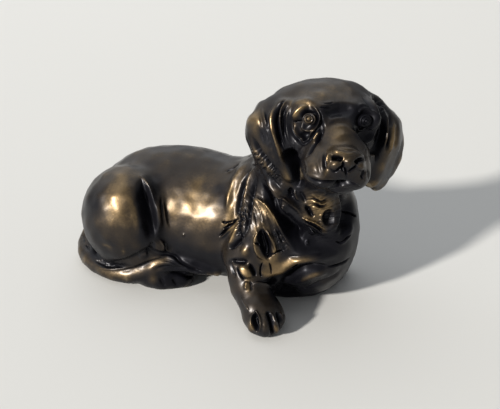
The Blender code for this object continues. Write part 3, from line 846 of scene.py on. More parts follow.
@dataclass(frozen=True)
class Face(Part):
    """The brows, cheeks, muzzle, nose, chin and eyes, with the lines drawn on them."""

    axes: Axes = Axes((30.5, -8.5, 79), yaw=-68, pitch=4, roll=-6)
    brow: Mass = Mass((9, 9, 9), (7, 7, 6), reach=6, mirror=True)
    cheek: Mass = Mass((3, 9, -5), (12, 8, 10), reach=6, mirror=True)
    muzzle: Mass = Mass((16, 0.5, -2.5), (17, 10, 8.5), turn=(0, -7, 0), reach=6)
    flew: Mass = Mass((21, 6, -7), (11, 7, 7.4), reach=4, mirror=True)
    nose: Mass = Mass((29.5, 1, -0.5), (4.8, 7, 5), reach=2.5)
    chin: Mass = Mass((18.5, 1, -12.5), (10.5, 7, 4.5), reach=2)
    throat: Mass = Mass((0, 0, -13), (13, 12, 10), reach=8)
    eye: Mass = Mass((12.5, 11.2, 8.4), (4, 4, 4), reach=0.6, mirror=True)

    right_socket: Dab = Dab((306.5, 122), (12, 16.5), -2.4, turn=18, crisp=4)
    right_socket_low: Dab = Dab((303, 137.5), (5.5, 4.6), -2.0, turn=-18, crisp=3)
    right_eyeball: Dab = Dab((308.5, 119.5), (8.4, 8.4), 3.0, crisp=4)
    right_eye_rim: Ring = Ring((308.5, 119.5), (9, 9), -1.0, width=1.3)
    right_iris: Ring = Ring((308.5, 119.5), (5.2, 5.2), -0.75, width=1.0)
    right_pupil: Ring = Ring((309, 119), (2.4, 2.4), -0.5, width=0.7)
    right_outline: Stroke = Stroke(
        (
            (304, 104),
            (297, 108),
            (293, 114),
            (291, 122),
            (291.5, 130),
            (295.5, 138),
            (302, 144.5),
            (308, 139.5),
            (314.5, 133),
            (319.5, 126),
            (321.5, 118),
            (319, 110.5),
            (314, 105),
        ),
        1.3,
        -0.8,
        fade=0.2,
    )
    right_lid: Stroke = Stroke(
        (
            (309, 104),
            (313, 106),
            (317, 110.5),
            (319.5, 116.5),
            (318.5, 123),
            (314.5, 129),
            (309, 134.5),
            (303.5, 141.5),
            (299, 138),
            (295, 131.5),
            (293.5, 124),
        ),
        1.3,
        1.1,
        fade=0.1,
    )
    right_upper_lid: Stroke = Stroke(
        ((293, 123), (295.5, 115.5), (299.5, 110), (304.5, 106.5), (309, 106)), 2.6, 1.6
    )
    right_upper_crease: Stroke = Stroke(
        ((299, 121), (301, 115), (305, 111), (310, 110), (314.5, 112.5)), 1.2, -1.1
    )
    right_corner: Stroke = Stroke(
        ((292, 122.5), (296, 121.8), (299.5, 120.5)), 0.9, -1.2, Section.CRACK
    )
    right_lower_lid: Stroke = Stroke(
        ((298, 123), (300.5, 128.5), (304.5, 131.5), (309.5, 131), (314, 126.5)), 1.5, 1.5
    )
    left_socket: Dab = Dab((366, 124), (10, 17), -2.4, turn=-8, crisp=3.5)
    left_socket_low: Dab = Dab((367, 137), (4, 6), -1.2, crisp=3)
    left_eyeball: Dab = Dab((366, 121), (7, 8), 2.6, crisp=4)
    left_eye_rim: Ring = Ring((366, 121), (7.8, 8.8), -1.0, width=1.2)
    left_iris: Ring = Ring((366.5, 121.5), (4.2, 4.8), -0.7, width=0.9)
    left_pupil: Ring = Ring((367, 121.5), (2, 2.2), -0.5, width=0.7)
    left_lid: Stroke = Stroke(
        (
            (359, 111), (364, 108), (370, 109.5), (375, 115), (377.5, 123), (376, 131), (372, 139),
            (367.5, 145),
        ),
        1.3,
        1.2,
        fade=0.05,
    )
    left_lower_lid: Stroke = Stroke(((358.5, 125), (361, 130), (366, 132), (371, 129)), 1.2, 0.9)
    forehead_line: Stroke = Stroke(
        ((314, 102), (324, 105), (336, 103.5), (348, 103), (360, 104.5)), 3.0, 0.6
    )
    forehead_crease: Stroke = Stroke(
        ((318, 106.5), (325, 107.5), (332, 106.8)), 0.8, -0.7, Section.CRACK
    )
    forehead_second_crease: Stroke = Stroke(
        ((320, 103.2), (328, 104), (335, 102.8)), 0.8, -0.5, Section.CRACK
    )
    stop: Stroke = Stroke(((321, 112), (330, 112), (343, 110), (357, 111)), 6.0, -1.4)
    muzzle_top: Stroke = Stroke(((327, 124), (333, 119.5), (341, 118.5), (347, 121.5)), 3.2, 0.7)
    bridge: Stroke = Stroke(((338, 122), (339, 132), (341, 143)), 9.0, 1.1)
    right_brow: Stroke = Stroke(((291, 108), (298, 102.5), (307, 100), (316, 102.5)), 3.0, 0.6)
    left_brow: Stroke = Stroke(((357, 106), (363, 104.5), (369, 106.5)), 1.8, 0.6)
    right_muzzle_side: Stroke = Stroke(
        ((325, 128), (320.5, 136), (316, 143), (311.5, 150), (305.5, 160)), 1.3, -1.5
    )
    right_inner_corner: Stroke = Stroke(((321, 119), (322, 127), (320, 134)), 2.4, -1.0)
    right_muzzle_ridge: Stroke = Stroke(((320, 129), (316, 136), (312.5, 143)), 1.9, 1.2)
    left_muzzle_side: Stroke = Stroke(
        ((352, 125), (358, 131), (364, 138), (369, 146), (373, 155)), 3.2, -1.7
    )
    left_muzzle_ridge: Stroke = Stroke(
        ((345, 127), (352, 131.5), (358, 137), (363, 144), (367, 152), (369.5, 162)), 2.2, 1.1
    )
    cheek_hollow: Dab = Dab((295, 163), (6, 15), -2.4, turn=-30, crisp=3)
    cheek_edge: Stroke = Stroke(((297, 149), (299.5, 157), (301, 166), (304, 175)), 1.6, 0.8)
    cheek_pits: Pits = Pits((296, 158), (7, 14), -0.9, turn=-25, spacing=3.6, size=1.1)
    cheek_ridge: Stroke = Stroke(((303, 146), (301, 155), (302, 164)), 1.6, 0.6)
    jowl: Dab = Dab((312, 168), (9, 9), 0.5, crisp=3)
    jowl_fold: Stroke = Stroke(((319, 150), (317.5, 158), (318.5, 167), (321, 177)), 1.9, -0.3)
    jowl_second_fold: Stroke = Stroke(((324, 150), (322, 158), (322.5, 167), (324.5, 176)), 1.8, 0.25)
    nose_top: Stroke = Stroke(
        ((329, 150), (334, 151.8), (341, 153.2), (346.5, 154.5), (353, 153.8), (361, 153.5)), 1.6, 0.7
    )
    nose_bridge_line: Stroke = Stroke(((333, 147.5), (341, 149), (350, 150), (359, 150.5)), 1.2, -0.5)
    nose_corner: Dab = Dab((336, 154), (3.6, 2.4), 0.7)
    nose_left_border: Stroke = Stroke(((331, 152), (328.6, 158), (328, 165)), 1.3, 1.0)
    nose_left_groove: Stroke = Stroke(((326, 151), (325, 158), (325, 166), (329, 171)), 1.4, -0.8)
    right_nostril: Stroke = Stroke(
        ((331, 158), (334.5, 158.2), (338.5, 158.6), (342.5, 160.5)), 2.0, -3.2, fade=0.08
    )
    left_nostril: Stroke = Stroke(
        ((356.5, 164.5), (358.5, 161.5), (362, 159.3), (366, 158.8)), 2.2, -2.4, fade=0.08
    )
    right_nostril_wing: Dab = Dab((334.5, 166), (4.6, 4.2), 0.9, crisp=3)
    column: Stroke = Stroke(((347, 158), (349, 163), (350, 169)), 3.0, 0.7)
    column_side: Stroke = Stroke(((342.5, 160), (343, 165), (342, 169), (344.5, 173)), 1.0, -1.5)
    left_nostril_wing: Dab = Dab((361, 167), (3.8, 3.6), 0.9, crisp=3)
    nose_foot: Stroke = Stroke(
        ((329, 169), (335, 171.5), (340, 168), (344, 168.5), (346, 173), (346.5, 180)), 1.1, -1.4
    )
    nose_right_foot: Stroke = Stroke(((346, 173), (351, 170.5), (356, 167), (357, 163)), 1.1, -1.2)
    mouth: Stroke = Stroke(
        (
            (298, 164), (301, 171), (305, 176.5), (312, 180), (321, 182), (332, 182), (343, 182.5),
            (353, 184), (363, 188),
        ),
        1.5,
        -2.6,
    )
    lip: Stroke = Stroke(((303, 166), (309, 174), (319, 178.5), (331, 179.5), (343, 178)), 2.4, 0.6)
    lower_lip: Stroke = Stroke(((320, 186.5), (332, 187), (344, 186), (353, 186)), 1.5, 0.7)
    muzzle_pit: Stroke = Stroke(((361, 170), (364, 172.5), (362, 177), (365, 181)), 1.0, -0.8)
    muzzle_second_pit: Stroke = Stroke(((367, 168), (369, 174), (368, 181)), 0.9, -0.6)
    muzzle_pits: Pits = Pits((363, 174), (5, 8), -0.3, spacing=3, size=0.8)

    ear_ridge: Stroke = Stroke(
        (
            (282, 96), (276.5, 104), (273, 112), (271.5, 121), (273, 131), (276, 141), (279, 150),
            (282, 161), (286, 174),
        ),
        2.0,
        1.1,
    )
    ear_groove: Stroke = Stroke(
        ((288, 95), (281.5, 103), (277.5, 112), (276.5, 121), (278.5, 132), (281.5, 143), (286, 153)),
        1.8,
        -2.2,
    )
    ear_second_ridge: Stroke = Stroke(
        ((290, 98), (284, 103), (280.5, 111), (279.5, 121), (280.5, 131), (283, 140), (287, 148)), 1.3, 0.8
    )
    ear_second_groove: Stroke = Stroke(
        ((289, 103), (285, 110), (283, 119), (283.8, 130), (286.5, 140)), 1.1, -0.8
    )
    ear_third_ridge: Stroke = Stroke(
        ((292, 105), (288.5, 112), (286.8, 121), (287.5, 131), (290, 140), (295, 148)), 2.0, 0.7
    )
    ear_gap: Stroke = Stroke(
        ((285, 149), (289.5, 158), (294, 168), (298, 178), (300, 188)), 4.8, -5.0, fade=0.15
    )
    ear_hem_line: Stroke = Stroke(
        ((250.5, 134), (257, 147), (265.5, 158.5), (275, 169), (283, 178)), 1.5, -1.9
    )
    ear_hem: Stroke = Stroke(
        ((248.5, 138), (254.5, 151), (262.5, 162.5), (271.5, 173.5), (281, 183)), 2.3, 1.3
    )
    ear_hem_pits: Pits = Pits((265, 164), (4.5, 25), -0.8, turn=-41, spacing=2.9, size=0.95)
    ear_under: Stroke = Stroke(
        ((246, 150), (254, 161.5), (263, 172), (273, 182.5), (284, 191)), 2.2, -2.0
    )
    ear_hollow: Dab = Dab((261, 135), (6, 10), -0.9, turn=-20)
    ear_upper_fold: Stroke = Stroke(((262, 106), (264.5, 117), (267.5, 130)), 1.7, 0.7)
    ear_upper_side: Stroke = Stroke(((259, 110), (261, 120), (262, 129)), 1.5, -0.5)
    ear_ripples: Ripples = Ripples((270, 146), (9, 22), 0.22, turn=-24, spacing=5)
    left_ear_edge: Stroke = Stroke(
        ((363, 91), (367.5, 97), (371.5, 103), (375.5, 111), (378.5, 122), (377.5, 132)), 1.3, 1.1
    )
    left_ear_inner_line: Stroke = Stroke(((361, 94), (366, 101), (370, 107), (373.5, 114)), 0.9, -0.7)
    left_ear_gap: Stroke = Stroke(
        ((371, 93), (379, 101.5), (383, 114), (383, 129), (380, 142), (376, 152), (372.5, 164)),
        3.2,
        -3.0,
        fade=0.12,
    )
    left_ear_pleat: Stroke = Stroke(((384, 104), (387, 119), (386.5, 135), (383.5, 150)), 1.6, 1.1)
    left_ear_groove: Stroke = Stroke(((389, 112), (390, 126), (388.5, 140), (385.5, 155)), 1.3, -1.3)
    left_ear_second_pleat: Stroke = Stroke(((393, 117), (393.5, 130), (391, 145), (387, 158)), 1.5, 0.9)
    left_ear_second_groove: Stroke = Stroke(((397, 122), (397.5, 136), (394, 150)), 1.4, -0.9)
    left_ear_tip: Dab = Dab((380, 183), (6, 4), 0.3, turn=-20)
    left_ear_pit: Dab = Dab((387.5, 178), (1.2, 1.4), -0.7)
    skull_ripples: Ripples = Ripples((330, 94), (34, 9), 0.07, turn=-4, spacing=9)


@dataclass(frozen=True)
class FarSide(Part):
    """The plainer lines of the left side and the back, worked from the second stand."""

    thigh_front: Stroke = Stroke(
        ((352, 214), (342, 228), (336, 246), (335, 264), (340, 282), (352, 298)), 9.0, -1.8
    )
    thigh_edge: Stroke = Stroke(((344, 212), (333, 226), (327, 245), (326, 264), (330, 280)), 3.6, 1.1)
    thigh_lip: Stroke = Stroke(((338, 232), (332.5, 246), (331.5, 262), (334, 276)), 1.3, 0.6)
    thigh_fullness: Dab = Dab((366, 252), (17, 22), 0.9, turn=-20)
    stifle: Dab = Dab((330, 290), (8, 6), 1.2, crisp=3)
    stifle_crease: Stroke = Stroke(((318, 296), (326, 299), (336, 300), (346, 304)), 1.8, -1.2)
    hind_foot_line: Stroke = Stroke(((284, 303), (300, 305), (316, 309), (330, 318)), 2.6, -1.0)
    first_toe_gap: Stroke = Stroke(((287, 311), (279, 316), (272, 325)), 1.5, -1.2, fade=0.1)
    second_toe_gap: Stroke = Stroke(((295, 317), (287, 323), (281, 332)), 1.5, -1.2, fade=0.1)
    third_toe_gap: Stroke = Stroke(((304, 322), (297, 328), (292, 335)), 1.4, -1.1, fade=0.1)
    first_toe: Dab = Dab((273, 314), (4, 5), 0.15)
    second_toe: Dab = Dab((279, 323), (3.6, 5), 0.15)
    third_toe: Dab = Dab((289, 329), (3.6, 5), 0.15)
    tail_line: Stroke = Stroke(((413, 284), (405, 293), (399, 304), (393, 314)), 2.0, -1.5)
    tail_top: Stroke = Stroke(((420, 286), (414, 295), (409, 306)), 2.2, 0.7)
    rump_fold: Stroke = Stroke(((398, 262), (405, 272), (411, 279)), 2.2, 0.8)
    rump_crease: Stroke = Stroke(((394, 267), (401, 277), (408, 284)), 1.6, -0.9)
    belly_line: Stroke = Stroke(((236, 294), (254, 301), (270, 304), (286, 300), (306, 298)), 2.6, -1.2)
    elbow_fold: Stroke = Stroke(((158, 252), (172, 257), (188, 266), (204, 278), (222, 290)), 4.4, -1.7)
    elbow_ridge: Stroke = Stroke(((163, 262), (178, 267), (192, 275), (206, 287)), 2.8, 0.9)
    elbow_crack: Stroke = Stroke(
        ((170, 283), (178, 279), (187, 281), (194, 287)), 1.2, -1.4, Section.CRACK
    )
    elbow_point: Dab = Dab((214, 286), (8, 6), 0.9, turn=30)
    forearm_line: Stroke = Stroke(((156, 276), (166, 284), (180, 291), (196, 295)), 1.8, -0.8)
    blade: Stroke = Stroke(((248, 172), (236, 186), (226, 204), (219, 224), (216, 244)), 6.0, 1.1)
    blade_groove: Stroke = Stroke(
        ((256, 182), (245, 196), (236, 213), (230, 232), (228, 252)), 6.0, -1.0
    )
    blade_front: Stroke = Stroke(((236, 172), (225, 188), (214, 206), (208, 226)), 5.0, -0.8)
    blade_slit: Stroke = Stroke(
        ((233, 222), (229, 230), (230, 239), (226, 247)), 1.1, -0.9, Section.CRACK
    )
    blade_pits: Pits = Pits((230, 236), (4, 18), -0.8, turn=8, spacing=4, size=1.2)
    side_tear: Stroke = Stroke(
        ((236, 250), (244, 246), (252, 247), (259, 243)), 1.5, -1.5, Section.CRACK
    )
    side_tear_lip: Stroke = Stroke(((237, 253), (246, 249.5), (256, 249)), 1.3, 0.6)
    ruff_fold: Stroke = Stroke(((216, 160), (206, 174), (196, 190), (189, 208), (187, 226)), 5.0, 0.9)
    ruff_groove: Stroke = Stroke(
        ((208, 160), (198, 174), (188, 190), (181, 208), (178, 228)), 4.4, -0.9
    )
    second_ruff_fold: Stroke = Stroke(((190, 164), (181, 178), (174, 194), (170, 212)), 4.4, 0.6)
    second_ruff_groove: Stroke = Stroke(((180, 168), (172, 182), (166, 198)), 4.0, -0.6)
    ruff_crack: Stroke = Stroke(
        ((166, 214), (172, 219), (178, 218), (183, 224)), 1.2, -1.3, Section.CRACK
    )
    nape_fold: Stroke = Stroke(((172, 150), (190, 158), (210, 158), (230, 148), (243, 138)), 4.0, -0.9)
    nape_ridge: Stroke = Stroke(((176, 144), (192, 151), (210, 151), (228, 142)), 4.0, 0.6)
    left_ear_root: Stroke = Stroke(((146, 68), (140, 82), (137, 98), (138, 114), (142, 128)), 4.0, -1.3)
    left_ear_back: Stroke = Stroke(((137, 78), (129, 92), (125, 108), (125, 126), (129, 142)), 2.6, 0.9)
    left_ear_hem: Stroke = Stroke(
        ((121, 94), (114, 108), (111, 124), (114, 140), (122, 152)), 1.5, -1.0
    )
    left_ear_inside: Stroke = Stroke(((136, 146), (138, 152), (134, 160)), 3.0, -1.2)
    right_ear_root: Stroke = Stroke(
        ((226, 70), (234, 82), (238, 97), (237, 113), (231, 127)), 4.0, -1.3
    )
    right_ear_back: Stroke = Stroke(((238, 78), (245, 92), (247, 107), (244, 122)), 2.4, 0.8)
    right_ear_hem: Stroke = Stroke(((248, 86), (252.5, 98), (252, 112), (247, 126)), 1.3, -0.9)
    side_scratch: Stroke = Stroke(((288, 238), (294, 240), (300, 239)), 0.8, -0.4, Section.CRACK)
    back_scratch: Stroke = Stroke(((300, 200), (307, 198), (313, 199)), 0.8, -0.4, Section.CRACK)
    side_ripples: Ripples = Ripples((286, 244), (40, 30), 0.12, turn=80, spacing=13)
    ruff_ripples: Ripples = Ripples((196, 205), (26, 36), 0.14, turn=20, spacing=5)


def body_parts() -> list[Part]:
    """The parts that give the figure its forms, in the order in which they are blended."""
    trunk = [Trunk(), Breast(), Forequarters(), BreastFloor(), LeftForeleg()]
    return trunk + [Skull(), RIGHT_EAR, LEFT_EAR, Face()]


# The clay


@dataclass(frozen=True)
class Clay:
    """The blended forms, and the mesh that is laid over them."""

    forms: tuple[Laid, ...]
    voxel: float = 1.4

    def field(self, points: np.ndarray) -> np.ndarray:
        """Finds how far points are from the blended surface.

        Args:
            points: The points, in steps.

        Returns:
            One distance for each point, negative inside.
        """
        value = np.full(len(points), 1e3)
        for form in self.forms:
            near = np.zeros(len(points), bool)
            for middle, radius in form.bounds:
                gap = np.linalg.norm(points - middle, axis=1) - radius
                near |= gap < np.minimum(value, 40) + form.reach
            if near.any():
                a, b = value[near], form.distance(points[near])
                blend = np.maximum(form.reach - np.abs(a - b), 0) / form.reach
                value[near] = np.minimum(a, b) - blend * blend * form.reach / 4
        return value

    def slope(self, points: np.ndarray, step: float = 0.05) -> tuple[np.ndarray, np.ndarray]:
        """Finds the field's gradient and its mean, by four samples at a tetrahedron's corners.

        Args:
            points: The points, in steps.
            step: The distance of the samples along each axis.

        Returns:
            The gradient at each point, and the mean of the four samples.
        """
        total, mean = np.zeros_like(points), np.zeros(len(points))
        for corner in np.array([(1, 1, 1), (1, -1, -1), (-1, 1, -1), (-1, -1, 1)], float):
            value = self.field(points + corner * step)
            total += corner * value[:, None]
            mean += value / 4
        return total / (4 * step), mean

    def settle(self, points: np.ndarray, rounds: int = 2) -> np.ndarray:
        """Moves points onto the blended surface.

        Args:
            points: The points, in steps.
            rounds: How many times they are moved.

        Returns:
            The moved points.
        """
        for _ in range(rounds):
            slope, value = self.slope(points)
            steep = np.maximum((slope * slope).sum(1), 0.25)
            move = -(value / steep)[:, None] * slope
            size = np.linalg.norm(move, axis=1, keepdims=True)
            points = points + move * np.minimum(1, 2.0 / np.maximum(size, 1e-9))
        return points

    def normals(self, points: np.ndarray) -> np.ndarray:
        """The blended surface's direction at each point."""
        slope, _ = self.slope(points)
        return slope / np.maximum(np.linalg.norm(slope, axis=1, keepdims=True), 1e-9)

    def mesh(self) -> bpy.types.Mesh:
        """Lays an even mesh over the rough forms.

        Returns:
            The mesh, in steps.
        """
        clay = bmesh.new()
        for form in self.forms:
            form.rough(clay)
        mesh = bpy.data.meshes.new("clay")
        clay.to_mesh(mesh)
        clay.free()
        rough = bpy.data.objects.new("clay", mesh)
        bpy.context.scene.collection.objects.link(rough)
        remesh = rough.modifiers.new("remesh", "REMESH")
        remesh.mode = "VOXEL"
        remesh.voxel_size = self.voxel
        graph = bpy.context.evaluated_depsgraph_get()
        made = bpy.data.meshes.new_from_object(rough.evaluated_get(graph))
        bpy.data.objects.remove(rough)
        return made


@dataclass
class Skin:
    """The mesh being worked: its points in steps and its edges."""

    mesh: bpy.types.Mesh

    def points(self) -> np.ndarray:
        """The mesh's points, one to a row."""
        flat = np.empty(len(self.mesh.vertices) * 3)
        self.mesh.vertices.foreach_get("co", flat)
        return flat.reshape(-1, 3)

    def edges(self) -> np.ndarray:
        """The mesh's edges, as pairs of vertices."""
        flat = np.empty(len(self.mesh.edges) * 2, int)
        self.mesh.edges.foreach_get("vertices", flat)
        return flat.reshape(-1, 2)

    def move(self, points: np.ndarray) -> None:
        """Puts the mesh's points in their new places."""
        self.mesh.vertices.foreach_set("co", points.ravel())

    def averaged(self, values: np.ndarray, rounds: int = 1, share: float = 1.0) -> np.ndarray:
        """Blends each point's values with its neighbours'.

        Args:
            values: One row of values for each point.
            rounds: How many times they are blended.
            share: How far each goes towards the mean of its neighbours.

        Returns:
            The blended values.
        """
        edges = self.edges()
        count = np.maximum(np.bincount(edges.ravel(), minlength=len(values)), 1)
        rows = values.reshape(len(values), -1)
        for _ in range(rounds):
            total = np.zeros_like(rows)
            for column in range(rows.shape[1]):
                total[:, column] = np.bincount(edges[:, 0], rows[edges[:, 1], column], len(rows))
                total[:, column] += np.bincount(edges[:, 1], rows[edges[:, 0], column], len(rows))
            rows = rows + share * (total / count[:, None] - rows)
        return rows.reshape(values.shape)

    def settle(self, clay: Clay, passes: int) -> None:
        """Evens the mesh out and lays it back on the clay, in the given number of passes."""
        points = self.points()
        for _ in range(passes):
            points = clay.settle(self.averaged(points, share=0.5))
        self.move(points)

    def refine(self, chosen: np.ndarray) -> None:
        """Divides the faces that have a chosen vertex.

        Args:
            chosen: Whether each vertex is chosen.
        """
        clay = bmesh.new()
        clay.from_mesh(self.mesh)
        flags = chosen.tolist()
        edges = set()
        for face in clay.faces:
            if any(flags[vertex.index] for vertex in face.verts):
                edges.update(face.edges)
        bmesh.ops.subdivide_edges(clay, edges=list(edges), cuts=1, use_grid_fill=True)
        clay.to_mesh(self.mesh)
        clay.free()

    def thin(self, triangles: int) -> None:
        """Thins the mesh, and keeps most of its triangles in the finest marks.

        Args:
            triangles: How many triangles stay.
        """
        self.mesh.calc_loop_triangles()
        figure = bpy.data.objects.new("skin", self.mesh)
        bpy.context.scene.collection.objects.link(figure)
        thinned = figure.modifiers.new("thinned", "DECIMATE")
        thinned.ratio = min(1, triangles / len(self.mesh.loop_triangles))
        thinned.use_collapse_triangulate = True
        graph = bpy.context.evaluated_depsgraph_get()
        skin = figure.evaluated_get(graph)
        self.mesh = bpy.data.meshes.new_from_object(skin, preserve_all_data_layers=True, depsgraph=graph)
        bpy.data.objects.remove(figure)


@dataclass(frozen=True)
class Carving:
    """The marks made from one stand."""

    stand: Stand
    marks: tuple[Mark, ...]

    def work(self, points: np.ndarray, normals: np.ndarray) -> tuple[np.ndarray, np.ndarray]:
        """Finds how far the marks move each point, and how busy the surface is there.

        Args:
            points: The points, in steps.
            normals: The surface's direction at each point.

        Returns:
            The lift of each point in steps, and how steep the marks are at it.
        """
        drawn, seen = self.stand.seen(points, normals)
        lift, busy = np.zeros(len(points)), np.zeros(len(points))
        for mark in self.marks:
            moved = mark.lift(drawn)
            lift += moved
            busy += np.abs(moved) / self.finest(mark)
        return lift * seen, busy * (seen > 0.02)

    @staticmethod
    def finest(mark: Mark) -> float:
        """The width of the mark's finest line, in the drawing's units."""
        if isinstance(mark, Stroke):
            return mark.width * (0.7 if mark.section is not Section.ROUND else 1)
        if isinstance(mark, Ring):
            return mark.width
        if isinstance(mark, Pits):
            return mark.size
        if isinstance(mark, Ripples):
            return mark.spacing / 2
        return min(mark.radii) / mark.crisp * 1.5


@dataclass(frozen=True)
class Unevenness:
    """The slight swell and dip that fingers leave all over the clay."""

    waves: int = 14
    height: float = 0.05
    shortest: float = 5.0
    longest: float = 16.0
    seed: int = 11

    def lift(self, points: np.ndarray) -> np.ndarray:
        """Finds the lift at points.

        Args:
            points: The points, in steps.

        Returns:
            The lift of each point, in steps.
        """
        chance = np.random.default_rng(self.seed)
        total = np.zeros(len(points))
        for _ in range(self.waves):
            direction = chance.normal(size=3)
            direction /= np.linalg.norm(direction)
            length = chance.uniform(self.shortest, self.longest)
            total += np.sin(points @ direction * (2 * math.pi / length) + chance.uniform(0, 2 * math.pi))
        return total * self.height


@dataclass(frozen=True)
class WearAndLight:
    """Where hands have rubbed the patina golden and where it stays dark, with painted highlights, painted
    sheen and painted shade laid over it.
    """

    rays: int = 10
    cavity_reach: float = 12.0
    cavity_start: float = 0.12
    cavity_spread: float = 0.97
    side_polish_and_light: float = 0.4
    hollow_dullness: float = 1.6
    # Rubbed gold with a painted highlight where the key light strikes the thigh.
    thigh_gold_and_highlight: Dab = Dab((117, 204), (15, 20), 0.62, turn=-24)
    thigh_front_gold: Stroke = Stroke(((124, 190), (132, 205), (136, 222), (138, 240)), 3.5, 0.5)
    thigh_mark: Stroke = Stroke(((100, 245), (107, 245.5), (112.5, 250)), 1.6, 0.55)
    thigh_second_mark: Stroke = Stroke(((122, 255), (123.5, 251), (125, 248)), 1.6, 0.5)
    thigh_low: Dab = Dab((112, 223), (16, 8), 0.18)
    # Rubbed gold with a painted highlight where the key light strikes the flank.
    flank_gold_and_highlight: Dab = Dab((203, 214), (24, 22), 0.5)
    flank_band: Stroke = Stroke(((184, 222), (190, 200), (197, 185), (208, 172)), 5, 0.35)
    flank_low: Dab = Dab((205, 248), (25, 12), 0.28)
    haunch_blotch: Dab = Dab((122, 180), (5, 9), 0.4)
    tail_gold: Stroke = Stroke(
        ((84, 254), (92, 265), (106, 272), (124, 273), (142, 268), (156, 262), (172, 260), (186, 268)),
        4.5,
        0.42,
    )
    foot_gold: Dab = Dab((153, 279), (6, 7), 0.5)
    shoulder_gold: Dab = Dab((262, 206), (13, 8), 0.45, turn=35)
    fold_gold: Stroke = Stroke(((238, 176), (231, 188), (229, 203), (232, 240), (228, 250)), 3.0, 0.45)
    leaf_gold: Ring = Ring((265, 245), (9, 17), 0.6, turn=-16, width=4)
    roll_gold: Stroke = Stroke(((258, 270), (270, 272), (284, 266), (300, 261), (325, 259)), 6, 0.62)
    forearm_gold: Stroke = Stroke(((298, 284), (308, 277), (322, 272)), 3, 0.55)
    ruff_gold: Dab = Dab((320, 206), (18, 19), 0.95)
    lock_gold: Stroke = Stroke(((298, 212), (308, 220), (320, 228), (332, 236)), 4, 0.85)
    nose_gold: Dab = Dab((338, 158), (14, 9), 0.46, turn=8)
    muzzle_gold: Stroke = Stroke(((319, 131), (315, 139), (312, 146)), 2.6, 0.55)
    eye_gold: Ring = Ring((305, 121), (11, 16), 0.4, turn=18, width=3)
    pupil_gold: Dab = Dab((308.5, 119.5), (6, 6), 0.5)
    brow_gold: Stroke = Stroke(((294, 105), (303, 101), (314, 103)), 2.5, 0.25)
    ear_gold: Dab = Dab((257, 123), (7.5, 14), 0.62)
    ear_lobe_gold: Dab = Dab((287, 177), (5, 11), 0.6, turn=-20)
    left_ear_gold: Dab = Dab((378, 184), (9, 5), 0.55)
    toe_gold: Dab = Dab((275, 329), (5, 5), 0.65)
    first_toe_gold: Dab = Dab((252, 327), (4, 6), 0.6)
    elbow_gold: Dab = Dab((248, 285), (3.5, 7), 0.75)
    ear_dark: Dab = Dab((262, 135), (6, 10), -0.5, turn=-20)
    ear_ridge_gold: Stroke = Stroke(
        ((279, 99), (272, 111), (270.5, 121), (275, 137), (281, 154), (288, 176)), 2.6, 0.6
    )
    ear_back_gold: Stroke = Stroke(((252, 124), (256, 132), (262, 144), (270, 158)), 3.5, 0.35)
    # A painted sheen along the ear's hem.
    hem_shine: Stroke = Stroke(((249, 139), (256, 152), (266, 165), (280, 181)), 2.4, 0.4)
    lid_gold: Stroke = Stroke(((294, 120), (297, 112.5), (302, 107.5), (308, 105.5)), 2.6, 0.6)
    lower_lid_gold: Stroke = Stroke(((299, 127), (304, 131.5), (310, 131)), 1.6, 0.5)
    blade_gold: Stroke = Stroke(
        ((260, 201), (268, 209), (274, 219), (279, 231), (287, 244), (297, 256)), 4.0, 0.6
    )
    pouch_gold: Stroke = Stroke(((257, 262), (261, 271), (270, 276), (281, 274), (291, 268)), 3.0, 0.4)
    pleat_gold: Stroke = Stroke(((385, 108), (387, 122), (386, 136), (381, 150)), 2.2, 0.4)
    second_pleat_gold: Stroke = Stroke(((395, 120), (394, 136), (390, 152)), 3.2, 0.55)
    lip_gold: Stroke = Stroke(((327, 152), (327, 162), (326.5, 172), (322, 180)), 2.6, 0.45)
    back_gold: Stroke = Stroke(((142, 160), (160, 156), (184, 154), (206, 158)), 3.5, 0.22)
    seam_gold: Stroke = Stroke(((238, 205), (236, 222), (232, 238), (229, 250)), 3.0, 0.4)
    # Painted highlights and painted sheen where the key light and the soft light catch the blade, the tear,
    # the flank folds, the elbow, the left ear, the skull, the bridge, the jowl and the shoulder.
    blade_shine: Dab = Dab((268, 213), (7, 11), 0.45, turn=-30)
    tear_shine: Dab = Dab((227, 224), (11, 9), 0.5)
    fold_shine: Dab = Dab((170, 212), (9, 19), 0.4)
    plate_shine: Dab = Dab((246, 271), (6, 9), 0.5, turn=-40)
    knuckle_shine: Dab = Dab((245, 251), (5, 6), 0.4)
    left_ear_shine: Dab = Dab((391, 142), (9, 32), 0.35)
    skull_shine: Dab = Dab((338, 91), (40, 13), 0.16)
    bridge_shine: Dab = Dab((339, 136), (14, 15), 0.32)
    jowl_shine: Dab = Dab((311, 161), (10, 13), 0.25)
    shoulder_shine: Dab = Dab((238, 192), (8, 22), 0.35, turn=18)
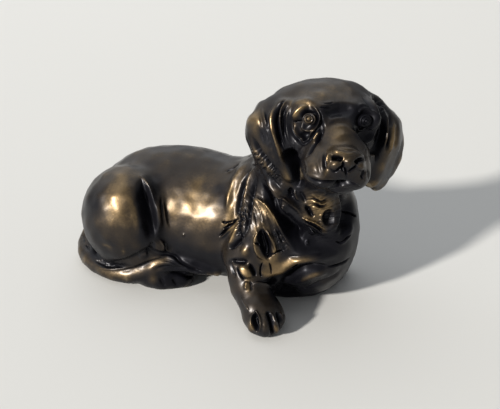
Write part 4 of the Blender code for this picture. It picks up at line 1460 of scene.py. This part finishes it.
    # Painted shade: the stop, the breast hollow, the thigh's front, the breast's side away from the key
    # light, under the belly, hind foot, breast and its roll, the ears' gaps, the left eye and under the
    # chin.
    stop_shade: Dab = Dab((340, 111), (22, 7), -0.5)
    hollow_shade: Dab = Dab((300, 238), (28, 17), -0.8, turn=22)
    thigh_shade: Stroke = Stroke(((138, 182), (146, 203), (148, 226), (142, 248)), 8, -0.8)
    belly_dark: Stroke = Stroke(((158, 262), (182, 262), (204, 264), (228, 266)), 14, -0.5)
    foot_shade: Dab = Dab((178, 281), (22, 9), -0.7)
    breast_shade: Stroke = Stroke(((344, 196), (346, 216), (340, 238), (322, 250)), 12, -0.7)
    under_shade: Stroke = Stroke(((262, 296), (282, 292), (304, 292), (328, 286)), 12, -0.7)
    roll_shade: Stroke = Stroke(((286, 277), (304, 271), (326, 266)), 4, -0.5)
    ear_gap_shade: Stroke = Stroke(((287, 152), (294, 166), (299, 184), (296, 196)), 6, -0.8)
    left_ear_shade: Stroke = Stroke(((374, 96), (383, 112), (382, 134), (374, 158)), 5, -0.8)
    left_eye_shade: Dab = Dab((365, 126), (10, 19), -0.7, turn=-10)
    chin_shade: Stroke = Stroke(((304, 182), (322, 190), (345, 192)), 6, -0.5)
    rump_dark: Dab = Dab((100, 196), (9, 18), -0.25, turn=30)
    flank_dark: Stroke = Stroke(((214, 180), (222, 196), (224, 212)), 6, -0.3)
    far_thigh_gold: Dab = Dab((366, 250), (15, 20), 0.35, turn=-20)
    far_side_gold: Dab = Dab((284, 232), (26, 20), 0.28)
    far_blade_gold: Stroke = Stroke(((240, 182), (228, 202), (220, 224)), 5, 0.3)
    # Painted shade under the belly and in the folds of the far thigh and elbow.
    far_belly_dark: Stroke = Stroke(((238, 284), (262, 290), (292, 288), (324, 292)), 12, -0.45)
    far_fold_shade: Stroke = Stroke(((350, 220), (338, 246), (338, 272), (350, 296)), 7, -0.5)
    far_elbow_shade: Stroke = Stroke(((160, 254), (188, 267), (222, 290)), 5, -0.6)

    def rubbed_and_lit(self, points: np.ndarray, normals: np.ndarray) -> np.ndarray:
        """Finds where the patina is rubbed or kept, and where highlights and shade are painted.

        Args:
            points: The points, in steps.
            normals: The surface's direction at each point.

        Returns:
            More than 0 where it is rubbed and where highlights are painted, less where it stays dark and
            where shade is painted.
        """
        total = np.zeros(len(points))
        for stand, far in ((NEAR_STAND, False), (FAR_STAND, True)):
            drawn, seen = stand.seen(points, normals)
            for entry in fields(self):
                mark = getattr(self, entry.name)
                if isinstance(mark, (Stroke, Dab)) and entry.name.startswith("far_") == far:
                    total += mark.lift(drawn) * seen
        return np.clip(total, -1, 1)

    def polished_and_lit(self, normals: np.ndarray, hollow: np.ndarray) -> np.ndarray:
        """Finds where the wax shines, most on top and least underneath; in the colour this paints the top
        lighter and the underside darker.

        Args:
            normals: The surface's direction at each point.
            hollow: How closed in each point is.

        Returns:
            From 0 where the wax is dull and the underside painted darkest to 1 where it shines and the top
            painted lightest.
        """
        facing = np.clip(self.side_polish_and_light + (1 - self.side_polish_and_light) * normals[:, 2], 0, 1)
        return facing * np.clip(1 - hollow * self.hollow_dullness, 0, 1)

    def cavity(self, points: np.ndarray, normals: np.ndarray, tree: BVHTree) -> np.ndarray:
        """Finds how closed in each point is.

        Args:
            points: The points, in steps.
            normals: The surface's direction at each point.
            tree: The surface.

        Returns:
            From 0 in the open to 1 deep in a hollow.
        """
        helper = np.where(np.abs(normals[:, 2:]) < 0.9, (0.0, 0.0, 1.0), (1.0, 0.0, 0.0))
        side = np.cross(normals, helper)
        side /= np.maximum(np.linalg.norm(side, axis=1, keepdims=True), 1e-9)
        other = np.cross(normals, side)
        starts = (points + normals * self.cavity_start).tolist()
        closed = np.zeros(len(points))
        for i in range(self.rays):
            share = (i + 0.5) / self.rays
            flat, turn = math.sqrt(share) * self.cavity_spread, i * GOLDEN_ANGLE
            away = normals * math.sqrt(1 - flat * flat)
            away = away + side * flat * math.cos(turn) + other * flat * math.sin(turn)
            for index, (start, direction) in enumerate(zip(starts, away.tolist())):
                gap = tree.ray_cast(start, direction, self.cavity_reach)[3]
                if gap is not None:
                    closed[index] += 1 - gap / self.cavity_reach
        return closed / self.rays


# Shader expressions


Number = Union[float, "Value"]


class Value:
    """A number that a shader works out: a socket with the usual operators."""

    def __init__(self, nodes: "Nodes", socket: bpy.types.NodeSocket) -> None:
        """Wraps a socket of the given nodes."""
        self.nodes, self.socket = nodes, socket

    def maths(self, operation: str, *others: Number, clamp: bool = False) -> "Value":
        """A Math node with this value first."""
        settings = {"operation": operation, "use_clamp": clamp}
        return self.nodes.value("ShaderNodeMath", settings, dict(enumerate((self, *others))))

    def __add__(self, other: Number) -> "Value":
        """This plus the other."""
        return self.maths("ADD", other)

    __radd__ = __add__

    def __sub__(self, other: Number) -> "Value":
        """This minus the other."""
        return self.maths("SUBTRACT", other)

    def __rsub__(self, other: Number) -> "Value":
        """The other minus this."""
        return self.maths("MULTIPLY", -1.0).maths("ADD", other)

    def __mul__(self, other: Number) -> "Value":
        """This times the other."""
        return self.maths("MULTIPLY", other)

    __rmul__ = __mul__

    def __truediv__(self, other: Number) -> "Value":
        """This divided by the other."""
        return self.maths("DIVIDE", other)

    def __rtruediv__(self, other: Number) -> "Value":
        """The other divided by this."""
        return self.maths("POWER", -1.0).maths("MULTIPLY", other)

    def __pow__(self, other: Number) -> "Value":
        """This to the power of the other."""
        return self.maths("POWER", other)

    def within(self) -> "Value":
        """This, kept from 0 to 1."""
        return self.maths("ADD", 0.0, clamp=True)

    def rise(self, low: float, high: float) -> "Value":
        """Rises smoothly from 0 at low to 1 at high."""
        places = {"Value": self, "From Min": low, "From Max": high}
        settings = {"interpolation_type": "SMOOTHSTEP"}
        return self.nodes.value("ShaderNodeMapRange", settings, places, "Result")


class Nodes:
    """The nodes of one material."""

    def __init__(self, name: str) -> None:
        """Starts a material with its surface shader."""
        self.material = bpy.data.materials.new(name)
        self.material.use_nodes = True
        self.tree = self.material.node_tree
        self.surface = self.tree.nodes["Principled BSDF"]

    def add(
        self, kind: str, settings: dict[str, object], places: dict[Union[str, int], object]
    ) -> bpy.types.Node:
        """Adds a node.

        Args:
            kind: The node's type.
            settings: The node's settings, which are made first.
            places: What goes into each socket: a number, a colour, a Value or a socket.

        Returns:
            The node.
        """
        node = self.tree.nodes.new(kind)
        for name, setting in settings.items():
            setattr(node, name, setting)
        for place, content in places.items():
            self.join(content, node.inputs[place])
        return node

    def join(self, content: object, socket: bpy.types.NodeSocket) -> None:
        """Links a Value or a socket, or sets a plain one, on the given socket."""
        if isinstance(content, Value):
            content = content.socket
        if isinstance(content, bpy.types.NodeSocket):
            self.tree.links.new(content, socket)
        else:
            socket.default_value = content

    def value(
        self,
        kind: str,
        settings: dict[str, object],
        places: dict[Union[str, int], object],
        output: Union[str, int] = 0,
    ) -> Value:
        """Adds a node and takes one of its numbers."""
        return Value(self, self.add(kind, settings, places).outputs[output])

    def attribute(self, name: str) -> Value:
        """A number stored on the mesh."""
        return self.value("ShaderNodeAttribute", {"attribute_name": name}, {}, "Fac")

    def colour(self, share: Number, low: object, high: object) -> bpy.types.NodeSocket:
        """Mixes two colours by a share."""
        node = self.add("ShaderNodeMix", {"data_type": "RGBA"}, {0: share, 6: low, 7: high})
        return node.outputs[2]

    def noise(self, where: object, scale: float, detail: float = 3, roughness: float = 0.55) -> Value:
        """Smooth noise from 0 to 1."""
        places = {"Vector": where, "Scale": scale, "Detail": detail, "Roughness": roughness}
        return self.value("ShaderNodeTexNoise", {}, places, "Fac")


Colour = tuple[float, float, float, float]


@dataclass(frozen=True)
class PatinatedBronze:
    """Cast bronze with a dark waxed patina, rubbed golden on its high places, with painted highlights,
    painted shade and a painted lighter top from the values stored on the mesh.
    """

    black: Colour = (0.006, 0.006, 0.009, 1)
    brown: Colour = (0.080, 0.058, 0.035, 1)
    gold: Colour = (0.29, 0.198, 0.097, 1)
    bright: Colour = (0.72, 0.60, 0.42, 1)
    roughness: float = 0.43
    dull_bend: float = 1.3
    wax: float = 0.58
    wax_roughness: float = 0.28
    cloud_scale: float = 45
    mottle_scale: float = 190
    fine_scale: float = 900
    grain_scale: float = 2600
    pit_scale: float = 620
    relief_strength: float = 0.35
    relief_depth: float = 0.00025

    def material(self) -> bpy.types.Material:
        """Makes the finish.

        Returns:
            The material.
        """
        nodes = Nodes("patinated_bronze")
        where = nodes.add("ShaderNodeTexCoord", {}, {}).outputs["Object"]
        rub_and_light, hollow, crest = nodes.attribute("rub_and_light"), nodes.attribute("hollow"), nodes.attribute("crest")
        polish_and_light = nodes.attribute("polish_and_light")
        clouds = nodes.noise(where, self.cloud_scale, 2)
        mottle = nodes.noise(where, self.mottle_scale, 4, 0.6)
        fine = nodes.noise(where, self.fine_scale, 3, 0.6)
        grain = nodes.noise(where, self.grain_scale, 2, 0.5)

        # The colour mix below carries the rubbed gold and the dark patina, and also the painted highlights,
        # the painted shade and the painted lighter top and darker underside; the bright mix whitens the
        # painted highlights too.
        worn_and_lit = rub_and_light * 0.9 + crest * 0.55 - hollow * 1.2 + (polish_and_light - 0.5) * 0.4
        worn_and_lit = worn_and_lit + (clouds - 0.5) * 0.8 + (mottle - 0.5) * 0.12
        browned = (worn_and_lit + 0.1 + (fine - 0.5) * 0.15).rise(-0.1, 0.85)
        gilded_and_highlit = (worn_and_lit + (fine - 0.5) * 0.35 + (mottle - 0.5) * 0.25).rise(0.2, 1.1)
        brightened = (crest * 1.2 + rub_and_light * 0.3 - hollow + (fine - 0.5) * 0.4).rise(0.7, 1.5)
        colour = nodes.colour(browned, self.black, self.brown)
        colour = nodes.colour(gilded_and_highlit, colour, self.gold)
        colour = nodes.colour(brightened * 0.6, colour, self.bright)

        places = {"Vector": where, "Scale": self.pit_scale}
        pits = nodes.value("ShaderNodeTexVoronoi", {"feature": "F1"}, places, "Distance")
        pitting = 1 - pits.rise(0.05, 0.3)
        relief = mottle * 0.35 + fine * 0.5 + grain * 0.25 - pitting * (mottle.rise(0.5, 0.75)) * 0.9
        places = {"Strength": self.relief_strength, "Distance": self.relief_depth, "Height": relief}
        bump = nodes.add("ShaderNodeBump", {}, places)

        surface = nodes.surface
        nodes.join(colour, surface.inputs["Base Color"])
        nodes.join((browned * 0.4 + 0.55).within(), surface.inputs["Metallic"])
        rough = self.roughness + (mottle - 0.5) * 0.12 + (fine - 0.5) * 0.1 - gilded_and_highlit * 0.08
        nodes.join(rough.within(), surface.inputs["Roughness"])
        nodes.join(bump.outputs["Normal"], surface.inputs["Normal"])
        surface.inputs["IOR"].default_value = self.dull_bend
        waxed = polish_and_light * (rub_and_light * 1.2 + 1).rise(0.2, 1.0) * self.wax
        nodes.join(waxed.within(), surface.inputs["Coat Weight"])
        surface.inputs["Coat Roughness"].default_value = self.wax_roughness
        return nodes.material


@dataclass(frozen=True)
class PaleStone:
    """The plain pale finish of the floor."""

    colour: Colour = (0.70, 0.70, 0.68, 1)
    roughness: float = 0.85

    def material(self) -> bpy.types.Material:
        """Makes the finish.

        Returns:
            The material.
        """
        nodes = Nodes("pale_floor")
        nodes.join(self.colour, nodes.surface.inputs["Base Color"])
        nodes.join(self.roughness, nodes.surface.inputs["Roughness"])
        return nodes.material


# The figure


@dataclass
class Dachshund:
    """The whole figure, cast in one piece and cut flat underneath."""

    finish: PatinatedBronze = PatinatedBronze()
    unevenness: Unevenness = Unevenness()
    wear_and_light: WearAndLight = WearAndLight()
    busy_once: float = 0.03
    busy_twice: float = 0.16
    busy_thrice: float = 0.75
    triangles: int = 190000
    edge_rounds: int = 3
    broad_rounds: int = 14

    def carvings(self) -> list[Carving]:
        """The marks of each stand."""
        near = [mark for part in (Trunk(), Coat(), Face()) for mark in part.marks()]
        return [Carving(NEAR_STAND, tuple(near)), Carving(FAR_STAND, tuple(FarSide().marks()))]

    def work(self, points: np.ndarray, normals: np.ndarray) -> tuple[np.ndarray, np.ndarray]:
        """Adds up what every carving does to points.

        Args:
            points: The points, in steps.
            normals: The surface's direction at each point.

        Returns:
            The lift of each point in steps, and how steep the marks are at it.
        """
        lift, busy = np.zeros(len(points)), np.zeros(len(points))
        for carving in self.carvings():
            one_lift, one_busy = carving.work(points, normals)
            lift += one_lift
            busy += one_busy
        return lift, busy

    def build(self) -> bpy.types.Object:
        """Models the figure.

        Returns:
            The figure, in metres, in its place.
        """
        clay = Clay(tuple(form for part in body_parts() for form in part.forms()))
        skin = Skin(clay.mesh())
        skin.settle(clay, 2)
        levels = (self.busy_once, self.busy_twice, self.busy_thrice)
        for level in levels:
            points = skin.points()
            _, busy = self.work(points, clay.normals(points))
            skin.refine(busy > level)
            skin.settle(clay, 1)
            LOG.info("skin refined at %.2f: %d vertices", level, len(skin.mesh.vertices))
        points = skin.points()
        normals = clay.normals(points)
        lift, _ = self.work(points, normals)
        points = points + normals * (lift + self.unevenness.lift(points))[:, None]
        skin.move(points)
        self.paint_wear_and_light(skin, lift)
        skin.thin(self.triangles)
        LOG.info("skin thinned to %d triangles", len(skin.mesh.polygons))
        self.cut_flat(skin.mesh)
        skin.mesh.transform(Matrix.Scale(STEP, 4) @ Matrix.Translation(-Vector(ORIGIN)))
        skin.mesh.name = "dachshund_bronze"
        figure = bpy.data.objects.new("dachshund_bronze", skin.mesh)
        bpy.context.scene.collection.objects.link(figure)
        return figure

    def paint_wear_and_light(self, skin: Skin, lift: np.ndarray) -> None:
        """Stores on the mesh where the patina is rubbed, crested, hollow and polished, and where
        highlights, shade and a lighter top are painted.

        Args:
            skin: The carved skin.
            lift: How far the marks moved each point.
        """
        mesh = skin.mesh
        mesh.update()
        points = skin.points()
        flat = np.empty(len(mesh.vertices) * 3)
        mesh.vertex_normals.foreach_get("vector", flat)
        normals = flat.reshape(-1, 3)
        tree = BVHTree.FromPolygons(points.tolist(), [list(face.vertices) for face in mesh.polygons])
        hollow = skin.averaged(self.wear_and_light.cavity(points, normals, tree), 2, 0.5)
        near = skin.averaged(points, self.edge_rounds, 0.6)
        broad = skin.averaged(near, self.broad_rounds, 0.7)
        edge = ((points - near) * normals).sum(1)
        swell = ((points - broad) * normals).sum(1)
        crest = smooth_step(edge, 0.05, 0.24) * 0.6 + smooth_step(swell, 0.35, 1.6) * 0.35
        crest += smooth_step(lift, 0.2, 1.4) * 0.4
        # Rubbed gold together with the painted highlights and painted shade drawn from the two stands.
        rub_and_light = self.wear_and_light.rubbed_and_lit(points, normals)
        # Wax shine, which also paints the top lighter and the underside darker.
        polish_and_light = self.wear_and_light.polished_and_lit(normals, hollow)
        crest = skin.averaged(crest, 1, 0.5)
        for name, values in (("rub_and_light", rub_and_light), ("hollow", hollow), ("crest", crest), ("polish_and_light", polish_and_light)):
            layer = mesh.attributes.new(name, "FLOAT", "POINT")
            layer.data.foreach_set("value", values.astype(np.float32))

    @staticmethod
    def cut_flat(mesh: bpy.types.Mesh) -> None:
        """Cuts away what lies below the ground and closes the underside."""
        clay = bmesh.new()
        clay.from_mesh(mesh)
        parts = clay.verts[:] + clay.edges[:] + clay.faces[:]
        cut = bmesh.ops.bisect_plane(
            clay, geom=parts, dist=1e-4, plane_co=(0, 0, 0), plane_no=(0, 0, -1), clear_outer=True
        )
        rim = [part for part in cut["geom_cut"] if isinstance(part, bmesh.types.BMEdge)]
        filled = bmesh.ops.triangle_fill(
            clay, use_beauty=True, use_dissolve=False, edges=rim, normal=(0, 0, -1)
        )
        for face in clay.faces:
            face.smooth = True
        for part in filled["geom"]:
            if isinstance(part, bmesh.types.BMFace):
                part.smooth = False
        for edge in rim:
            edge.smooth = False
        clay.to_mesh(mesh)
        clay.free()
        mesh.update()

    def dress(self, figure: bpy.types.Object) -> None:
        """Gives the figure its finish and its place in the frame."""
        figure.data.materials.append(self.finish.material())
        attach(figure, "root")
        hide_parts("dachshund_figure")


@dataclass
class Studio:
    """The pale floor, the soft light and the camera."""

    floor_size: float = 3.0
    floor_finish: PaleStone = PaleStone()
    key_azimuth: float = -35
    key_elevation: float = 25
    key_strength: float = 4.6
    key_softness: float = 5
    key_colour: tuple[float, float, float] = (1.0, 0.96, 0.90)
    box_size: float = 2.0
    box_place: tuple[float, float, float] = (-0.5, 0.5, 1.0)
    box_power: float = 8.0
    box_colour: tuple[float, float, float] = (0.94, 0.97, 1.0)
    sky: Colour = (0.90, 0.92, 0.95, 1)
    sky_strength: float = 0.28
    stand: Stand = NEAR_STAND
    sensor_width: float = 36
    nearest: float = 0.01

    def build(self) -> None:
        """Builds the floor, the lights and the camera."""
        self.build_floor()
        self.build_light()
        self.build_camera()

    def build_floor(self) -> None:
        """Lays the floor."""
        half = self.floor_size / 2
        mesh = bpy.data.meshes.new("floor")
        corners = [(-half, -half, 0), (half, -half, 0), (half, half, 0), (-half, half, 0)]
        mesh.from_pydata(corners, [], [(0, 1, 2, 3)])
        mesh.materials.append(self.floor_finish.material())
        floor = bpy.data.objects.new("floor", mesh)
        bpy.context.scene.collection.objects.link(floor)

    def build_light(self) -> None:
        """Hangs the key light and sets the soft light all round."""
        lamp = bpy.data.lights.new("key", "SUN")
        lamp.energy = self.key_strength
        lamp.angle = math.radians(self.key_softness)
        lamp.color = self.key_colour
        key = bpy.data.objects.new("key", lamp)
        bpy.context.scene.collection.objects.link(key)
        azimuth, elevation = math.radians(self.key_azimuth), math.radians(self.key_elevation)
        flat = math.cos(elevation)
        towards = Vector((math.sin(azimuth) * flat, -math.cos(azimuth) * flat, math.sin(elevation)))
        key.rotation_mode = "QUATERNION"
        key.rotation_quaternion = towards.to_track_quat("Z", "Y")
        panel = bpy.data.lights.new("soft_box", "AREA")
        panel.size = self.box_size
        panel.energy = self.box_power
        panel.color = self.box_colour
        box = bpy.data.objects.new("soft_box", panel)
        bpy.context.scene.collection.objects.link(box)
        box.location = self.box_place
        box.rotation_mode = "QUATERNION"
        box.rotation_quaternion = Vector(self.box_place).to_track_quat("Z", "Y")
        bpy.context.scene.view_settings.view_transform = "Standard"
        world = bpy.data.worlds.new("soft_light")
        bpy.context.scene.world = world
        world.use_nodes = True
        background = world.node_tree.nodes["Background"]
        background.inputs["Color"].default_value = self.sky
        background.inputs["Strength"].default_value = self.sky_strength

    def build_camera(self) -> None:
        """Sets the camera up at the near stand."""
        lens = bpy.data.cameras.new("camera")
        lens.sensor_width = self.sensor_width
        lens.lens = self.stand.scale * lens.sensor_width / PICTURE_WIDTH
        lens.clip_start = self.nearest
        camera = bpy.data.objects.new("camera", lens)
        bpy.context.scene.collection.objects.link(camera)
        back = Vector(self.stand.back())
        camera.location = (Vector(self.stand.eye()) - Vector(ORIGIN)) * STEP
        camera.rotation_mode = "QUATERNION"
        camera.rotation_quaternion = (-back).to_track_quat("-Z", "Y")
        bpy.context.scene.camera = camera


def main() -> None:
    """Builds the figure and its studio, and reports each piece."""
    logging.basicConfig(level=logging.INFO, format="%(message)s")
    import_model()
    dachshund = Dachshund()
    figure = dachshund.build()
    dachshund.dress(figure)
    triangles = sum(len(face.vertices) - 2 for face in figure.data.polygons)
    sides = [round(side * 1000, 1) for side in figure.dimensions]
    LOG.info("%s: %d triangles, %s mm", figure.name, triangles, sides)
    Studio().build()
    LOG.info("studio: floor, key light, soft light and camera")


if __name__ == "__main__":
    main()
